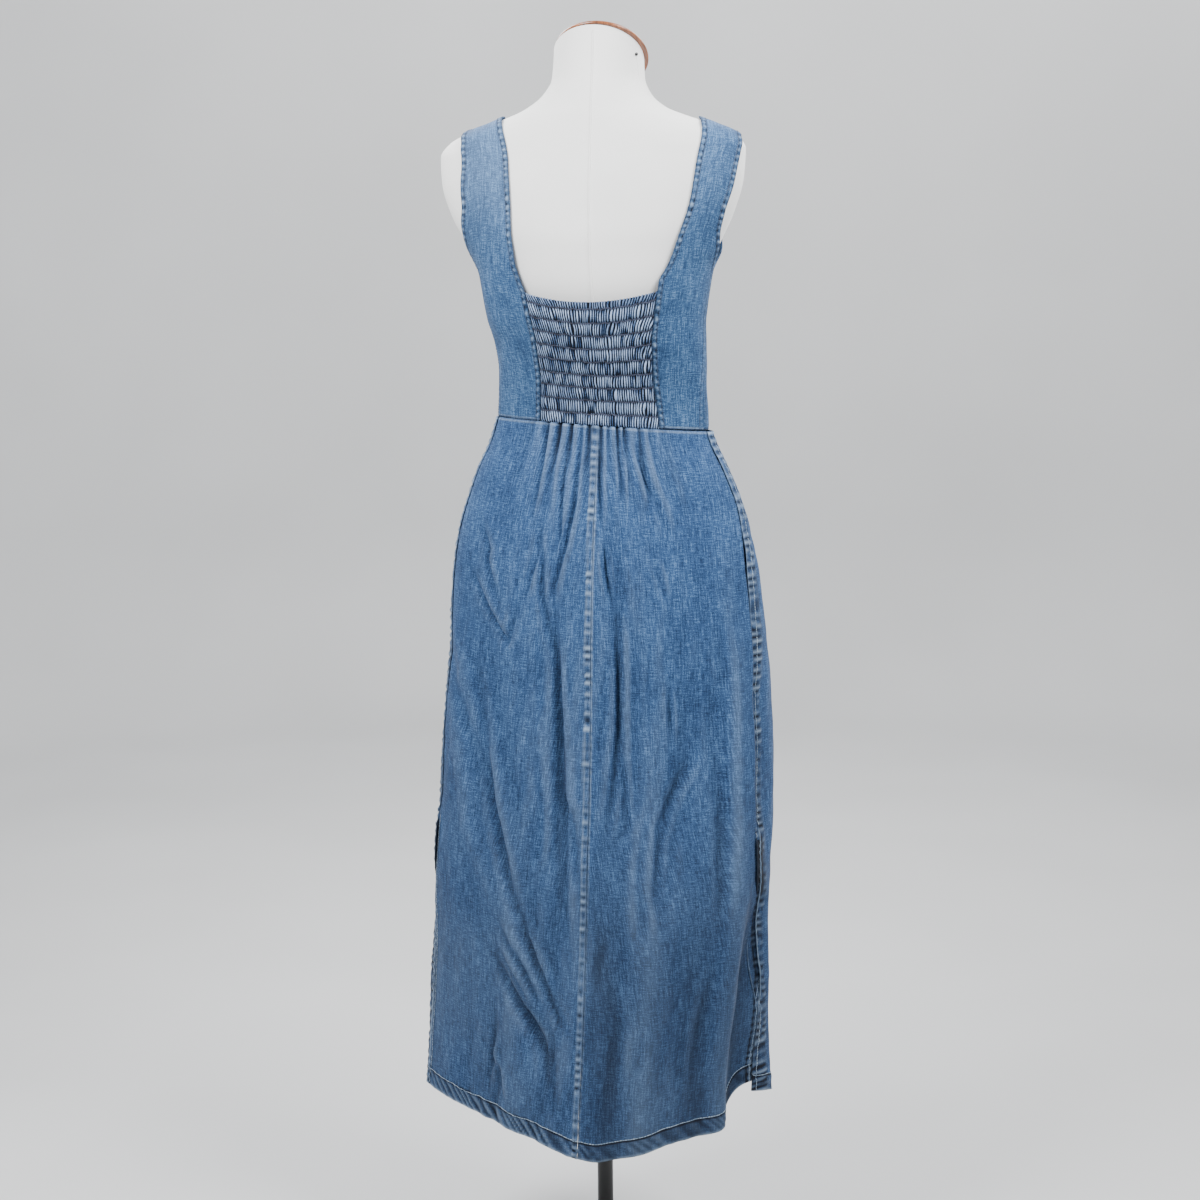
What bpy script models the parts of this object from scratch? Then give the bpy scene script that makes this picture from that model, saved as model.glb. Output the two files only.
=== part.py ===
"""A sleeveless denim maxi dress standing on a limbless dress form.

Metres, +Z up. The origin is the middle of the base plate's underside. The dress faces -Y, its
back faces +Y, and the wearer's left is +X. A turn is an angle round the dress, in degrees from
the centre back, positive towards the wearer's left.
"""

import math
from collections import namedtuple

import bmesh
import bpy
import numpy as np

# ---------------------------------------------------------------- driving sizes
WALL = 0.0018  # denim with its turned edges
SHARP_ANGLE = math.radians(50)  # edges that bend more are shaded sharp
SEAM_GAP = 0.0003  # left between two panels where they are sewn
REST_GAP = 0.0016  # from the form's skin to the inside of a strap, along a ray from the core
HEM_EXTRA = 0.0007  # the turned-up hem stands this much proud of the panel

TABLE_DATUM = 0.040  # heights of the dress and the form count from here above the floor
WAIST_HEIGHT = 1.0505
WAIST_HALF_WIDTH = 0.130
WAIST_TILT = 0.07  # the waist seam climbs this much per metre towards the wearer's left
DRESS_CENTRE_X = -0.009  # the dress sits a little to the wearer's right on the form
HEM_CENTRE_X = -0.003
VENT_TOP = 0.565
VENT_GAPE = 0.0012  # how far each vent edge stands back from the seam line at the hem
HEM_CENTRE_HEIGHT = 0.185

SHIRRED_TOP_CENTRE = 1.1945
SHIRRED_TOP_CORNER = 1.206
PLEATS = 57
PLEAT_HEIGHT = 0.0013
ELASTIC_ROWS = 9
FIRST_ELASTIC = 0.098  # shares of the panel's height
LAST_ELASTIC = 0.937
PUFF_HEIGHT = 0.0012
INNER_ROW_STEP = 3  # the plain inside has every third row and every sixth column of points
INNER_COLUMN_STEP = 6

CORE_Y = -0.010  # rays leave the form's core from here
CORE_TOP = 1.27
SHOULDER_Y = -0.010
LOOSE_TOP = 1.235  # the bodice hangs by its own sections up to here
RESTING_FROM = 1.300  # and lies on the form from here up

FORM_BOTTOM = 0.740
NECK_SLANT = math.radians(32)
NECK_BACK_HEIGHT = 1.5190
NECK_BACK_Y = 0.017
CAP_THICKNESS = 0.004
CAP_OVERHANG = 0.0020
CAP_SHIFT_X = -0.0030
CAP_BEVEL = 0.0012
POLE_RADIUS = 0.0100
BASE_RADIUS = 0.160
BASE_THICKNESS = 0.010
BASE_BEVEL = 0.003

# ---------------------------------------------------------------- sections, bottom to top
Section = namedtuple("Section", "height half_width middle_x side_y back front back_power")

FORM_SECTIONS = [
    Section(0.740, 0.148, 0.000, -0.008, 0.060, -0.080, 2.1),
    Section(0.800, 0.166, 0.000, -0.010, 0.068, -0.092, 2.1),
    Section(0.860, 0.174, 0.000, -0.012, 0.066, -0.098, 2.1),
    Section(0.920, 0.164, 0.000, -0.014, 0.056, -0.097, 2.1),
    Section(0.980, 0.142, 0.000, -0.015, 0.043, -0.090, 2.1),
    Section(1.050, 0.117, 0.000, -0.016, 0.031, -0.082, 2.1),
    Section(1.120, 0.116, 0.000, -0.012, 0.050, -0.088, 2.1),
    Section(1.180, 0.123, 0.001, -0.008, 0.073, -0.104, 2.1),
    Section(1.225, 0.134, 0.002, -0.004, 0.080, -0.115, 2.1),
    Section(1.262, 0.152, 0.004, 0.000, 0.079, -0.113, 2.0),
    Section(1.300, 0.172, 0.005, 0.006, 0.072, -0.102, 2.0),
    Section(1.340, 0.184, 0.005, 0.008, 0.063, -0.090, 2.0),
    Section(1.372, 0.186, 0.005, 0.006, 0.054, -0.080, 2.0),
    Section(1.388, 0.175, 0.005, 0.002, 0.050, -0.076, 2.0),
    Section(1.400, 0.152, 0.006, -0.004, 0.047, -0.074, 2.0),
    Section(1.412, 0.118, 0.006, -0.010, 0.044, -0.073, 2.0),
    Section(1.425, 0.087, 0.005, -0.016, 0.040, -0.072, 2.0),
    Section(1.442, 0.066, 0.003, -0.022, 0.035, -0.074, 2.0),
    Section(1.462, 0.056, 0.002, -0.027, 0.029, -0.078, 2.0),
    Section(1.490, 0.0545, 0.002, -0.031, 0.022, -0.084, 2.0),
    Section(1.540, 0.0545, 0.001, -0.040, 0.012, -0.092, 2.0),
]

BODICE_SECTIONS = [
    Section(1.030, 0.1315, -0.002, -0.015, 0.042, -0.090, 2.0),
    Section(1.060, 0.1310, -0.002, -0.014, 0.043, -0.090, 2.0),
    Section(1.090, 0.1290, -0.002, -0.013, 0.051, -0.093, 2.0),
    Section(1.120, 0.1285, -0.003, -0.011, 0.062, -0.099, 2.05),
    Section(1.150, 0.1300, -0.001, -0.009, 0.073, -0.108, 2.1),
    Section(1.180, 0.1345, 0.003, -0.006, 0.082, -0.116, 2.1),
    Section(1.210, 0.1390, 0.003, -0.004, 0.086, -0.122, 2.1),
    Section(1.235, 0.1440, 0.003, -0.002, 0.086, -0.123, 2.05),
    Section(1.262, 0.1580, 0.002, 0.000, 0.084, -0.119, 2.0),
    Section(1.300, 0.1740, 0.003, 0.006, 0.077, -0.107, 2.0),
]

SKIRT_SECTIONS = [
    Section(0.170, 0.2260, 0.010, 0.014, 0.166, -0.152, 1.2),
    Section(0.257, 0.2210, 0.010, 0.010, 0.148, -0.145, 1.3),
    Section(0.320, 0.2180, 0.009, 0.006, 0.132, -0.140, 1.45),
    Section(0.390, 0.2155, 0.007, 0.002, 0.121, -0.136, 1.6),
    Section(0.455, 0.2125, 0.005, 0.000, 0.113, -0.132, 1.75),
    Section(0.520, 0.2115, 0.002, -0.003, 0.106, -0.129, 1.9),
    Section(0.580, 0.2105, -0.002, -0.006, 0.098, -0.127, 2.0),
    Section(0.645, 0.2090, -0.0035, -0.008, 0.091, -0.125, 2.0),
    Section(0.710, 0.2065, -0.0045, -0.010, 0.087, -0.123, 2.0),
    Section(0.770, 0.2010, -0.006, -0.010, 0.085, -0.121, 2.0),
    Section(0.820, 0.1965, -0.005, -0.011, 0.082, -0.118, 2.0),
    Section(0.870, 0.1920, -0.003, -0.012, 0.077, -0.114, 2.0),
    Section(0.900, 0.1870, -0.002, -0.012, 0.072, -0.111, 2.0),
    Section(0.930, 0.1800, -0.002, -0.013, 0.066, -0.107, 2.0),
    Section(0.960, 0.1705, -0.002, -0.014, 0.060, -0.103, 2.0),
    Section(0.995, 0.1570, -0.001, -0.014, 0.053, -0.098, 2.0),
    Section(1.030, 0.1405, -0.001, -0.015, 0.046, -0.092, 2.0),
    Section(1.060, 0.1315, -0.002, -0.014, 0.043, -0.090, 2.0),
]

# The side seams' depth, right and left, from the hem up.
SeamRow = namedtuple("SeamRow", "height right_y left_y")
SIDE_SEAM = [
    SeamRow(0.200, 0.024, 0.022),
    SeamRow(0.330, 0.009, 0.021),
    SeamRow(0.450, 0.022, 0.020),
    SeamRow(0.576, 0.039, 0.019),
    SeamRow(0.720, 0.032, 0.016),
    SeamRow(0.875, 0.017, 0.010),
    SeamRow(0.957, 0.003, 0.002),
    SeamRow(1.052, 0.000, 0.000),
    SeamRow(1.232, -0.004, -0.004),
]

# Half the shirred panel's width against the share of its height; the seams run straight between.
ShirredRow = namedtuple("ShirredRow", "share half_width")
SHIRRED_SEAM = [
    ShirredRow(0.0, 0.0725),
    ShirredRow(0.3602, 0.0675),
    ShirredRow(0.6749, 0.0695),
    ShirredRow(1.0, 0.0780),
]

# ---------------------------------------------------------------- strap edges, from the side up
# Guide points near the skin; each is moved onto it. The neck edge comes first, then the armhole.
StrapRow = namedtuple("StrapRow", "neck_x neck_y neck_z arm_x arm_y arm_z")

BACK_STRAP_LEFT = [
    StrapRow(0.0735, 0.073, 1.220, 0.1465, -0.004, 1.232),
    StrapRow(0.0775, 0.068, 1.240, 0.1465, 0.013, 1.259),
    StrapRow(0.0815, 0.066, 1.268, 0.1435, 0.030, 1.282),
    StrapRow(0.0840, 0.062, 1.303, 0.1430, 0.039, 1.310),
    StrapRow(0.0875, 0.055, 1.340, 0.1452, 0.038, 1.343),
    StrapRow(0.0935, 0.044, 1.377, 0.1485, 0.030, 1.376),
    StrapRow(0.1020, 0.022, 1.403, 0.1525, 0.012, 1.393),
]
BACK_STRAP_RIGHT = [
    StrapRow(-0.0910, 0.068, 1.219, -0.1420, -0.004, 1.234),
    StrapRow(-0.0985, 0.060, 1.240, -0.1430, 0.011, 1.257),
    StrapRow(-0.1100, 0.057, 1.272, -0.1520, 0.024, 1.281),
    StrapRow(-0.1195, 0.053, 1.301, -0.1600, 0.028, 1.303),
    StrapRow(-0.1260, 0.049, 1.335, -0.1700, 0.027, 1.332),
    StrapRow(-0.1290, 0.040, 1.368, -0.1755, 0.021, 1.362),
    StrapRow(-0.1270, 0.018, 1.400, -0.1760, 0.008, 1.386),
]
SHOULDER_LEFT = StrapRow(0.1110, SHOULDER_Y, 1.415, 0.1545, SHOULDER_Y, 1.401)
SHOULDER_RIGHT = StrapRow(-0.1215, SHOULDER_Y, 1.410, -0.1730, SHOULDER_Y, 1.390)

# The hidden front, for the wearer's left; the right side is its mirror image, a little wider.
FRONT_ARMHOLE = [
    StrapRow(0.0, 0.0, 0.0, 0.1490, -0.018, 1.243),
    StrapRow(0.0, 0.0, 0.0, 0.1480, -0.042, 1.266),
    StrapRow(0.0, 0.0, 0.0, 0.1458, -0.053, 1.282),
    StrapRow(0.0, 0.0, 0.0, 0.1430, -0.063, 1.297),
]
FRONT_STRAP = [
    StrapRow(0.0985, -0.094, 1.325, 0.1440, -0.069, 1.328),
    StrapRow(0.1015, -0.083, 1.352, 0.1480, -0.064, 1.352),
    StrapRow(0.1045, -0.070, 1.376, 0.1525, -0.054, 1.372),
    StrapRow(0.1080, -0.053, 1.396, 0.1540, -0.040, 1.386),
    StrapRow(0.1110, -0.032, 1.408, 0.1550, -0.025, 1.395),
]
FRONT_RIGHT_SCALE = 1.07
NECKLINE_CORNER_TURN = 136.0
NECKLINE_CORNER_HEIGHT = 1.297
NECKLINE_CENTRE_HEIGHT = 1.262
PRINCESS_WAIST_TURN = 138.0

SEAM_SHARES = (0.0, 0.1801, 0.3602, 0.5176, 0.6749, 0.8375, 1.0)
SEAM_TOP_SHARE = 0.93  # of the side seam's height, level with the shirred panel's top corner
STRAP_COLUMNS = 6
CENTRE_COLUMNS = 12
BACK_STRAP_ROWS = 13
FRONT_STRAP_ROWS = 10
STRAP_CROWDING = 1.5  # rows lie closer together towards the top of the shoulder

# ---------------------------------------------------------------- skirt folds
# A fold runs straight from its top to its bottom. Depth is outwards; spread is half its width.
HEM_ZONE = 0.25  # a fold that ends below this height runs on to the hem; a higher one fades out
Fold = namedtuple("Fold", "top top_turn bottom bottom_turn depth spread")

BACK_FOLDS = [
    Fold(0.860, 72, 0.360, 25, -0.0060, 8),
    Fold(0.420, 52, 0.290, 16, -0.0080, 6),
    Fold(0.880, 26, 0.260, 12, -0.0050, 6),
    Fold(0.700, 45, 0.180, 36, 0.0050, 8),
    Fold(0.960, -18, 0.540, -20, -0.0045, 6),
    Fold(0.800, -42, 0.180, -33, 0.0045, 7),
    Fold(0.760, -62, 0.480, -41, -0.0050, 6),
    Fold(0.560, -46, 0.150, -38, 0.0220, 22),
    Fold(0.460, 52, 0.150, 44, -0.0060, 16),
    Fold(0.860, -72, 0.150, -69, 0.0120, 7),
    Fold(0.480, -84, 0.150, -79, -0.0190, 7),
    Fold(0.310, -92, 0.160, -89, -0.0050, 10),
]
FRONT_FOLDS = [
    Fold(1.020, 172, 0.200, 176, -0.0060, 7),
    Fold(1.020, 158, 0.180, 152, 0.0070, 8),
    Fold(0.960, 140, 0.160, 134, -0.0070, 7),
    Fold(0.900, 122, 0.160, 116, 0.0060, 8),
    Fold(1.020, -166, 0.170, -164, 0.0060, 8),
    Fold(1.000, -150, 0.180, -146, -0.0070, 7),
    Fold(0.940, -132, 0.160, -126, 0.0070, 8),
    Fold(0.900, -112, 0.160, -108, -0.0050, 7),
    Fold(0.420, -96, 0.150, -90, 0.0020, 9),
    Fold(0.420, 92, 0.150, 88, 0.0040, 9),
]

# Gathers at the back waist: each valley's distance from the centre back, and its depth.
Gather = namedtuple("Gather", "distance depth")
GATHERS_LEFT = [
    Gather(0.011, 0.0014),
    Gather(0.025, 0.0020),
    Gather(0.038, 0.0022),
    Gather(0.051, 0.0018),
    Gather(0.062, 0.0013),
    Gather(0.074, 0.0009),
]
GATHERS_RIGHT = [
    Gather(0.006, 0.0016),
    Gather(0.0195, 0.0022),
    Gather(0.034, 0.0019),
    Gather(0.046, 0.0023),
    Gather(0.061, 0.0018),
    Gather(0.072, 0.0012),
    Gather(0.084, 0.0008),
]
# The hem's height round the back and round the front, from the wearer's right to the left.
HemRow = namedtuple("HemRow", "turn height")
BACK_HEM = [
    HemRow(-88, 0.243),
    HemRow(-84, 0.236),
    HemRow(-78, 0.213),
    HemRow(-72, 0.199),
    HemRow(-60, 0.195),
    HemRow(-44, 0.195),
    HemRow(-34, 0.191),
    HemRow(-14, 0.179),
    HemRow(-3, 0.184),
    HemRow(10, 0.191),
    HemRow(30, 0.196),
    HemRow(56, 0.199),
    HemRow(76, 0.203),
    HemRow(90, 0.206),
]
FRONT_HEM = [
    HemRow(85, 0.206),
    HemRow(110, 0.201),
    HemRow(145, 0.192),
    HemRow(180, 0.188),
    HemRow(215, 0.192),
    HemRow(250, 0.206),
    HemRow(276, 0.233),
]
GATHER_REACH = 0.125  # a gather fades out this far below the waist
BACK_WAIST_LENGTH = 0.160  # centre back to side seam, along the waist
FULLNESS = 0.68  # how much the gathered stretch spreads towards the hem
PLAIN_COLUMNS = 9
FRONT_SKIRT_COLUMNS = 28
HEM_SHARE = 0.972  # share of the panel's drop at which its turned-up hem begins

SKIRT_SHARES = (
    0.0, 0.022, 0.05, 0.085, 0.125, 0.175, 0.23, 0.295, 0.365, 0.435,
    0.50, 0.5605, 0.625, 0.695, 0.765, 0.835, 0.905, 0.9705, 0.9745, 1.0,
)  # fmt: skip

FORM_HEIGHTS = (
    0.740, 0.775, 0.820, 0.865, 0.910, 0.955, 1.005, 1.055, 1.105, 1.150, 1.190, 1.225, 1.262,
    1.300, 1.335, 1.360, 1.376, 1.386, 1.393, 1.399, 1.405, 1.411, 1.417, 1.424,
)  # fmt: skip
FORM_COLUMNS = 44
NECK_SHARES = (0.15, 0.35, 0.6)  # rings of the neck, between the shoulders and its slanted top
ROUND_SEGMENTS = 32


# ---------------------------------------------------------------- sections to surfaces
def smooth_curve(knots, values, at):
    """Values along a smooth curve through the knots that never overshoots them."""
    steps = np.diff(knots)[:, None]
    slopes = np.diff(values, axis=0) / steps
    agree = slopes[1:] * slopes[:-1]
    total = np.where(agree > 0, slopes[1:] + slopes[:-1], 1.0)
    tangents = np.vstack([slopes[:1], np.where(agree > 0, 2 * agree / total, 0.0), slopes[-1:]])
    at = np.clip(np.asarray(at, float), knots[0], knots[-1])
    below = np.clip(np.searchsorted(knots, at) - 1, 0, len(knots) - 2)
    step = (knots[below + 1] - knots[below])[..., None]
    share = (at - knots[below])[..., None] / step
    rise = share**2 * (3 - 2 * share)
    leave = share * (1 - share) ** 2 * step * tangents[below]
    arrive = share**2 * (share - 1) * step * tangents[below + 1]
    return values[below] * (1 - rise) + values[below + 1] * rise + leave + arrive


def section_at(table, height):
    """The table's section at each height."""
    rows = np.array(table)
    found = smooth_curve(rows[:, 0], rows[:, 1:], height)
    return Section(height, *np.moveaxis(found, -1, 0))


def finer(points, count, crowding):
    """count points along a smooth run of guide points, without its first, crowded towards its end."""
    run = np.concatenate([[0.0], np.cumsum(np.linalg.norm(np.diff(points, axis=0), axis=1))])
    shares = 1 - (1 - np.linspace(0, 1, count + 1)[1:]) ** crowding
    return smooth_curve(run, points, shares * run[-1])


def excess(table, points):
    """Negative inside the surface that the table describes, zero on it and positive outside."""
    section = section_at(table, points[..., 2])
    across = points[..., 0] - section.middle_x
    along = points[..., 1] - section.side_y
    depth = np.where(along >= 0, section.back - section.side_y, section.side_y - section.front)
    power = np.where(along >= 0, section.back_power, 2.0)
    return (np.abs(across) / section.half_width) ** power + (np.abs(along) / depth) ** power - 1


def ring_point(table, turn, height, lift=0.0):
    """The point of the surface at this turn and height, moved lift metres outwards."""
    section = section_at(table, height)
    across, along = np.sin(np.radians(turn)), np.cos(np.radians(turn))
    depth = np.where(along >= 0, section.back - section.side_y, section.side_y - section.front)
    power = np.where(along >= 0, section.back_power, 2.0)
    reach = (np.abs(across) / section.half_width) ** power + (np.abs(along) / depth) ** power
    reach = reach ** (-1 / power) + lift
    flat = (section.middle_x + reach * across, section.side_y + reach * along, height)
    return np.stack(np.broadcast_arrays(*flat), axis=-1)


def fade(value, start, end):
    """0 at start and 1 at end, with level ends."""
    share = np.clip((value - start) / (end - start), 0, 1)
    return share * share * (3 - 2 * share)


def ray_length(table, core, direction):
    """How far each ray runs from the core to the table's surface."""
    near = np.full(direction.shape[:-1], 0.01)
    far = np.full(direction.shape[:-1], 0.40)
    for _ in range(40):
        middle = (near + far) / 2
        outside = excess(table, core + direction * middle[..., None]) > 0
        far = np.where(outside, middle, far)
        near = np.where(outside, near, middle)
    return far


def dress_points(guides, lift=0.0):
    """Guide points moved onto the bodice's outer face, which lies on the form above the bust."""
    heights = guides[..., 2]
    core_top = np.minimum(heights, CORE_TOP)
    core_parts = (np.zeros_like(heights), np.full_like(heights, CORE_Y), core_top)
    core = np.stack(core_parts, axis=-1)
    direction = guides - core
    direction = direction / np.linalg.norm(direction, axis=-1, keepdims=True)
    loose = ray_length(BODICE_SECTIONS, core, direction)
    resting = ray_length(FORM_SECTIONS, core, direction) + REST_GAP + WALL
    on_form = fade(heights, LOOSE_TOP, RESTING_FROM)
    reach = np.maximum(loose * (1 - on_form) + resting * on_form, resting) + lift
    return core + direction * reach[..., None]


def waist_height(points_x):
    """The waist seam's height: one tilted plane, so that every panel meets on it."""
    return WAIST_HEIGHT + WAIST_TILT * points_x


def seam_y(height, side):
    """The side seam's depth at a height; side is +1 on the wearer's left and -1 on the right."""
    rows = np.array(SIDE_SEAM)
    return np.interp(height, rows[:, 0], rows[:, 2] if side > 0 else rows[:, 1])


def seam_turn(table, height, side, aside):
    """The turn, on the table's surface, of the line that runs aside metres behind the side seam."""
    section = section_at(table, height)
    along = seam_y(height, side) + aside - section.side_y
    depth = np.where(along >= 0, section.back - section.side_y, section.side_y - section.front)
    power = np.where(along >= 0, section.back_power, 2.0)
    across = section.half_width * (1 - (np.abs(along) / depth) ** power) ** (1 / power)
    return side * np.degrees(np.arctan2(across, along))


# ---------------------------------------------------------------- meshes
def new_object(name, mesh_data, material, datum=TABLE_DATUM):
    """A named object in the scene from a finished bmesh, shaded smooth but for its edges."""
    bmesh.ops.translate(mesh_data, verts=mesh_data.verts, vec=(0, 0, datum))
    mesh = bpy.data.meshes.new(name)
    mesh_data.to_mesh(mesh)
    mesh_data.free()
    mesh.shade_smooth()
    mesh.set_sharp_from_angle(angle=SHARP_ANGLE)
    mesh.materials.append(material)
    made = bpy.data.objects.new(name, mesh)
    bpy.context.scene.collection.objects.link(made)
    return made


def add_grid(mesh_data, points):
    """A grid of faces through rows of points; returns its vertices in the same rows."""
    rows, columns = points.shape[:2]
    made = bmesh.ops.create_grid(mesh_data, x_segments=columns - 1, y_segments=rows - 1, size=1.0)
    verts = made["verts"]
    for vert, place in zip(verts, points.reshape(-1, 3)):
        vert.co = place
    return [verts[row * columns : (row + 1) * columns] for row in range(rows)]


def face_outwards(mesh_data):
    """Makes the normals agree, and turns a closed body that is inside out."""
    bmesh.ops.recalc_face_normals(mesh_data, faces=mesh_data.faces)
    if mesh_data.calc_volume(signed=True) < 0:
        bmesh.ops.reverse_faces(mesh_data, faces=mesh_data.faces)


def cloth_wall(name, outer, inner, material, opening=None):
    """A wall of cloth between two grids of points; opening is (first row, columns) left out."""
    mesh_data = bmesh.new()
    place = mesh_data.verts.layers.int.new("place")
    rows = add_grid(mesh_data, inner)
    for index, vert in enumerate(vert for row in rows for vert in row):
        vert[place] = index
    if opening:
        first_row, columns = opening
        gone = [rows[row][column] for row in range(first_row + 1, len(rows)) for column in columns[1:-1]]
        bridge = {rows[row][column] for row in range(first_row, len(rows)) for column in columns}
        faces = [f for f in mesh_data.faces if all(vert in bridge for vert in f.verts)]
        bmesh.ops.delete(mesh_data, geom=faces, context="FACES_ONLY")
        edges = [e for e in mesh_data.edges if not e.link_faces]
        bmesh.ops.delete(mesh_data, geom=edges, context="EDGES")
        loose = [vert for vert in gone if vert.is_valid and not vert.link_faces]
        bmesh.ops.delete(mesh_data, geom=loose, context="VERTS")
    bmesh.ops.triangulate(mesh_data, faces=mesh_data.faces)
    extruded = bmesh.ops.extrude_face_region(mesh_data, geom=mesh_data.faces[:])
    flat_outer = outer.reshape(-1, 3)
    for part in extruded["geom"]:
        if isinstance(part, bmesh.types.BMVert):
            part.co = flat_outer[part[place]]
    face_outwards(mesh_data)
    return new_object(name, mesh_data, material)


# ---------------------------------------------------------------- bodice
def shirred_half_width(share):
    """Half the shirred panel's width at a share of its height."""
    rows = np.array(SHIRRED_SEAM)
    return np.interp(share, rows[:, 0], rows[:, 1])


def back_strap_guides(side):
    """Neck-edge and armhole guide points of a back side panel, one row each, waist to shoulder."""
    half_widths = shirred_half_width(SEAM_SHARES)
    neck_x = DRESS_CENTRE_X + side * half_widths
    neck_z = waist_height(neck_x) + (SHIRRED_TOP_CORNER - waist_height(neck_x)) * np.array(SEAM_SHARES)
    neck_y = surface_y(neck_x, neck_z)
    neck = np.stack([neck_x, neck_y, neck_z], axis=-1)
    arm = side_seam_guides(side)
    strap = BACK_STRAP_LEFT if side > 0 else BACK_STRAP_RIGHT
    shoulder = SHOULDER_LEFT if side > 0 else SHOULDER_RIGHT
    upper = np.array(strap + [shoulder])
    neck_run = finer(upper[:, :3], BACK_STRAP_ROWS, STRAP_CROWDING)
    arm_run = finer(upper[:, 3:], BACK_STRAP_ROWS, STRAP_CROWDING)
    return np.vstack([neck, upper[:1, :3], neck_run]), np.vstack([arm, upper[:1, 3:], arm_run])


def surface_y(points_x, heights):
    """The depth of the bodice's back where it has this width and height."""
    section = section_at(BODICE_SECTIONS, heights)
    share = np.clip(np.abs(points_x - section.middle_x) / section.half_width, 0, 0.999)
    depth = section.back - section.side_y
    return section.side_y + depth * (1 - share**section.back_power) ** (1 / section.back_power)


def side_seam_guides(side):
    """Guide points of the bodice's side seam, one for each row up to the shirred panel's corner."""
    strap = BACK_STRAP_LEFT if side > 0 else BACK_STRAP_RIGHT
    low = waist_height(side * WAIST_HALF_WIDTH)
    shares = np.array(SEAM_SHARES) * SEAM_TOP_SHARE
    heights = low + (strap[0].arm_z - low) * shares
    section = section_at(BODICE_SECTIONS, heights)
    return np.stack([section.middle_x + side * section.half_width, seam_y(heights, side), heights], axis=-1)


def strap_panel(side):
    """Outer and inner points of a back side panel with its strap; rows climb, columns go outwards."""
    neck, arm = back_strap_guides(side)
    shares = np.linspace(0, 1, STRAP_COLUMNS + 1)[None, :, None]
    guides = neck[:, None] * (1 - shares) + arm[:, None] * shares
    seam_rows = len(SEAM_SHARES)
    faces = []
    for lift in (0.0, -WALL):
        points = dress_points(guides, lift)
        points[0, :, 2] = waist_height(points[0, :, 0]) + SEAM_GAP / 2
        edge = shirred_half_width(SEAM_SHARES) + SEAM_GAP / 2
        points[:seam_rows, 0, 0] = DRESS_CENTRE_X + side * edge
        points[: seam_rows + 1, -1, 1] = seam_y(points[: seam_rows + 1, -1, 2], side) + SEAM_GAP / 2
        points[-1, :, 1] = SHOULDER_Y + SEAM_GAP / 2
        faces.append(points)
    return faces


def front_strap_rows(side):
    """Armhole guides, then strap guides, of the front on one side."""
    scale = side * (1.0 if side > 0 else FRONT_RIGHT_SCALE)
    factors = np.array([scale, 1, 1, scale, 1, 1])
    shoulder = SHOULDER_LEFT if side > 0 else SHOULDER_RIGHT
    straps = np.vstack([np.array(FRONT_STRAP) * factors, np.array([shoulder])])
    armholes = np.array(FRONT_ARMHOLE)[:, 3:] * np.array([side, 1, 1])
    return armholes, straps


def turn_of(points):
    """The turn of points about the form's core."""
    return np.degrees(np.arctan2(points[..., 0], points[..., 1] - CORE_Y))


def front_bodice_guides():
    """Guide points of the whole front: full rows up to the neckline, then the two straps."""
    top_of_seam = {1: BACK_STRAP_LEFT[0], -1: BACK_STRAP_RIGHT[0]}
    edges, straps = {}, {}
    for side in (1, -1):
        seam = side_seam_guides(side)
        last = np.array([top_of_seam[side][3:]])
        armholes, strap = front_strap_rows(side)
        edges[side] = np.vstack([seam, last, armholes])
        corner = ring_point(BODICE_SECTIONS, side * NECKLINE_CORNER_TURN, NECKLINE_CORNER_HEIGHT)
        neck_run = finer(np.vstack([corner, strap[:, :3]]), FRONT_STRAP_ROWS, STRAP_CROWDING)
        arm_run = finer(np.vstack([armholes[-1:], strap[:, 3:]]), FRONT_STRAP_ROWS, STRAP_CROWDING)
        straps[side] = np.hstack([neck_run, arm_run])
    full_rows = len(edges[1])
    climb = np.linspace(0, 1, full_rows)
    columns = 2 * STRAP_COLUMNS + CENTRE_COLUMNS
    marks = (0, STRAP_COLUMNS, columns / 2, columns - STRAP_COLUMNS, columns)
    guides = np.zeros((full_rows + len(straps[1]), columns + 1, 3))
    shares = np.linspace(0, 1, STRAP_COLUMNS + 1)[:, None]
    for row in range(full_rows):
        left, right = edges[1][row], edges[-1][row]
        share = climb[row]
        princess = PRINCESS_WAIST_TURN + (NECKLINE_CORNER_TURN - PRINCESS_WAIST_TURN) * share
        corner = WAIST_HEIGHT + (NECKLINE_CORNER_HEIGHT - WAIST_HEIGHT) * share
        centre = WAIST_HEIGHT + (NECKLINE_CENTRE_HEIGHT - WAIST_HEIGHT) * share
        right_turn = turn_of(right) + 360
        turns = (turn_of(left), princess, 180, 360 - princess, right_turn)
        heights = (left[2], corner, centre, corner, right[2])
        turn = np.interp(np.arange(columns + 1), marks, turns)
        height = np.interp(np.arange(columns + 1), marks, heights)
        away = (np.arange(columns + 1) - columns / 2) / (CENTRE_COLUMNS / 2)
        height = np.where(np.abs(away) < 1, centre + (corner - centre) * away**2, height)
        guides[row] = ring_point(BODICE_SECTIONS, turn, height)
        guides[row, : STRAP_COLUMNS + 1] = left * (1 - shares) + guides[row, STRAP_COLUMNS] * shares
        inner = guides[row, -STRAP_COLUMNS - 1]
        guides[row, -STRAP_COLUMNS - 1 :] = inner * (1 - shares) + right * shares
    middle = slice(STRAP_COLUMNS + 1, -STRAP_COLUMNS - 1)
    for index in range(len(straps[1])):
        row = full_rows + index
        left, right = straps[1][index], straps[-1][index]
        guides[row, : STRAP_COLUMNS + 1] = left[3:] * (1 - shares) + left[:3] * shares
        guides[row, -STRAP_COLUMNS - 1 :] = right[:3] * (1 - shares) + right[3:] * shares
        guides[row, middle] = guides[full_rows - 1, middle]
    return guides, full_rows


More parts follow.
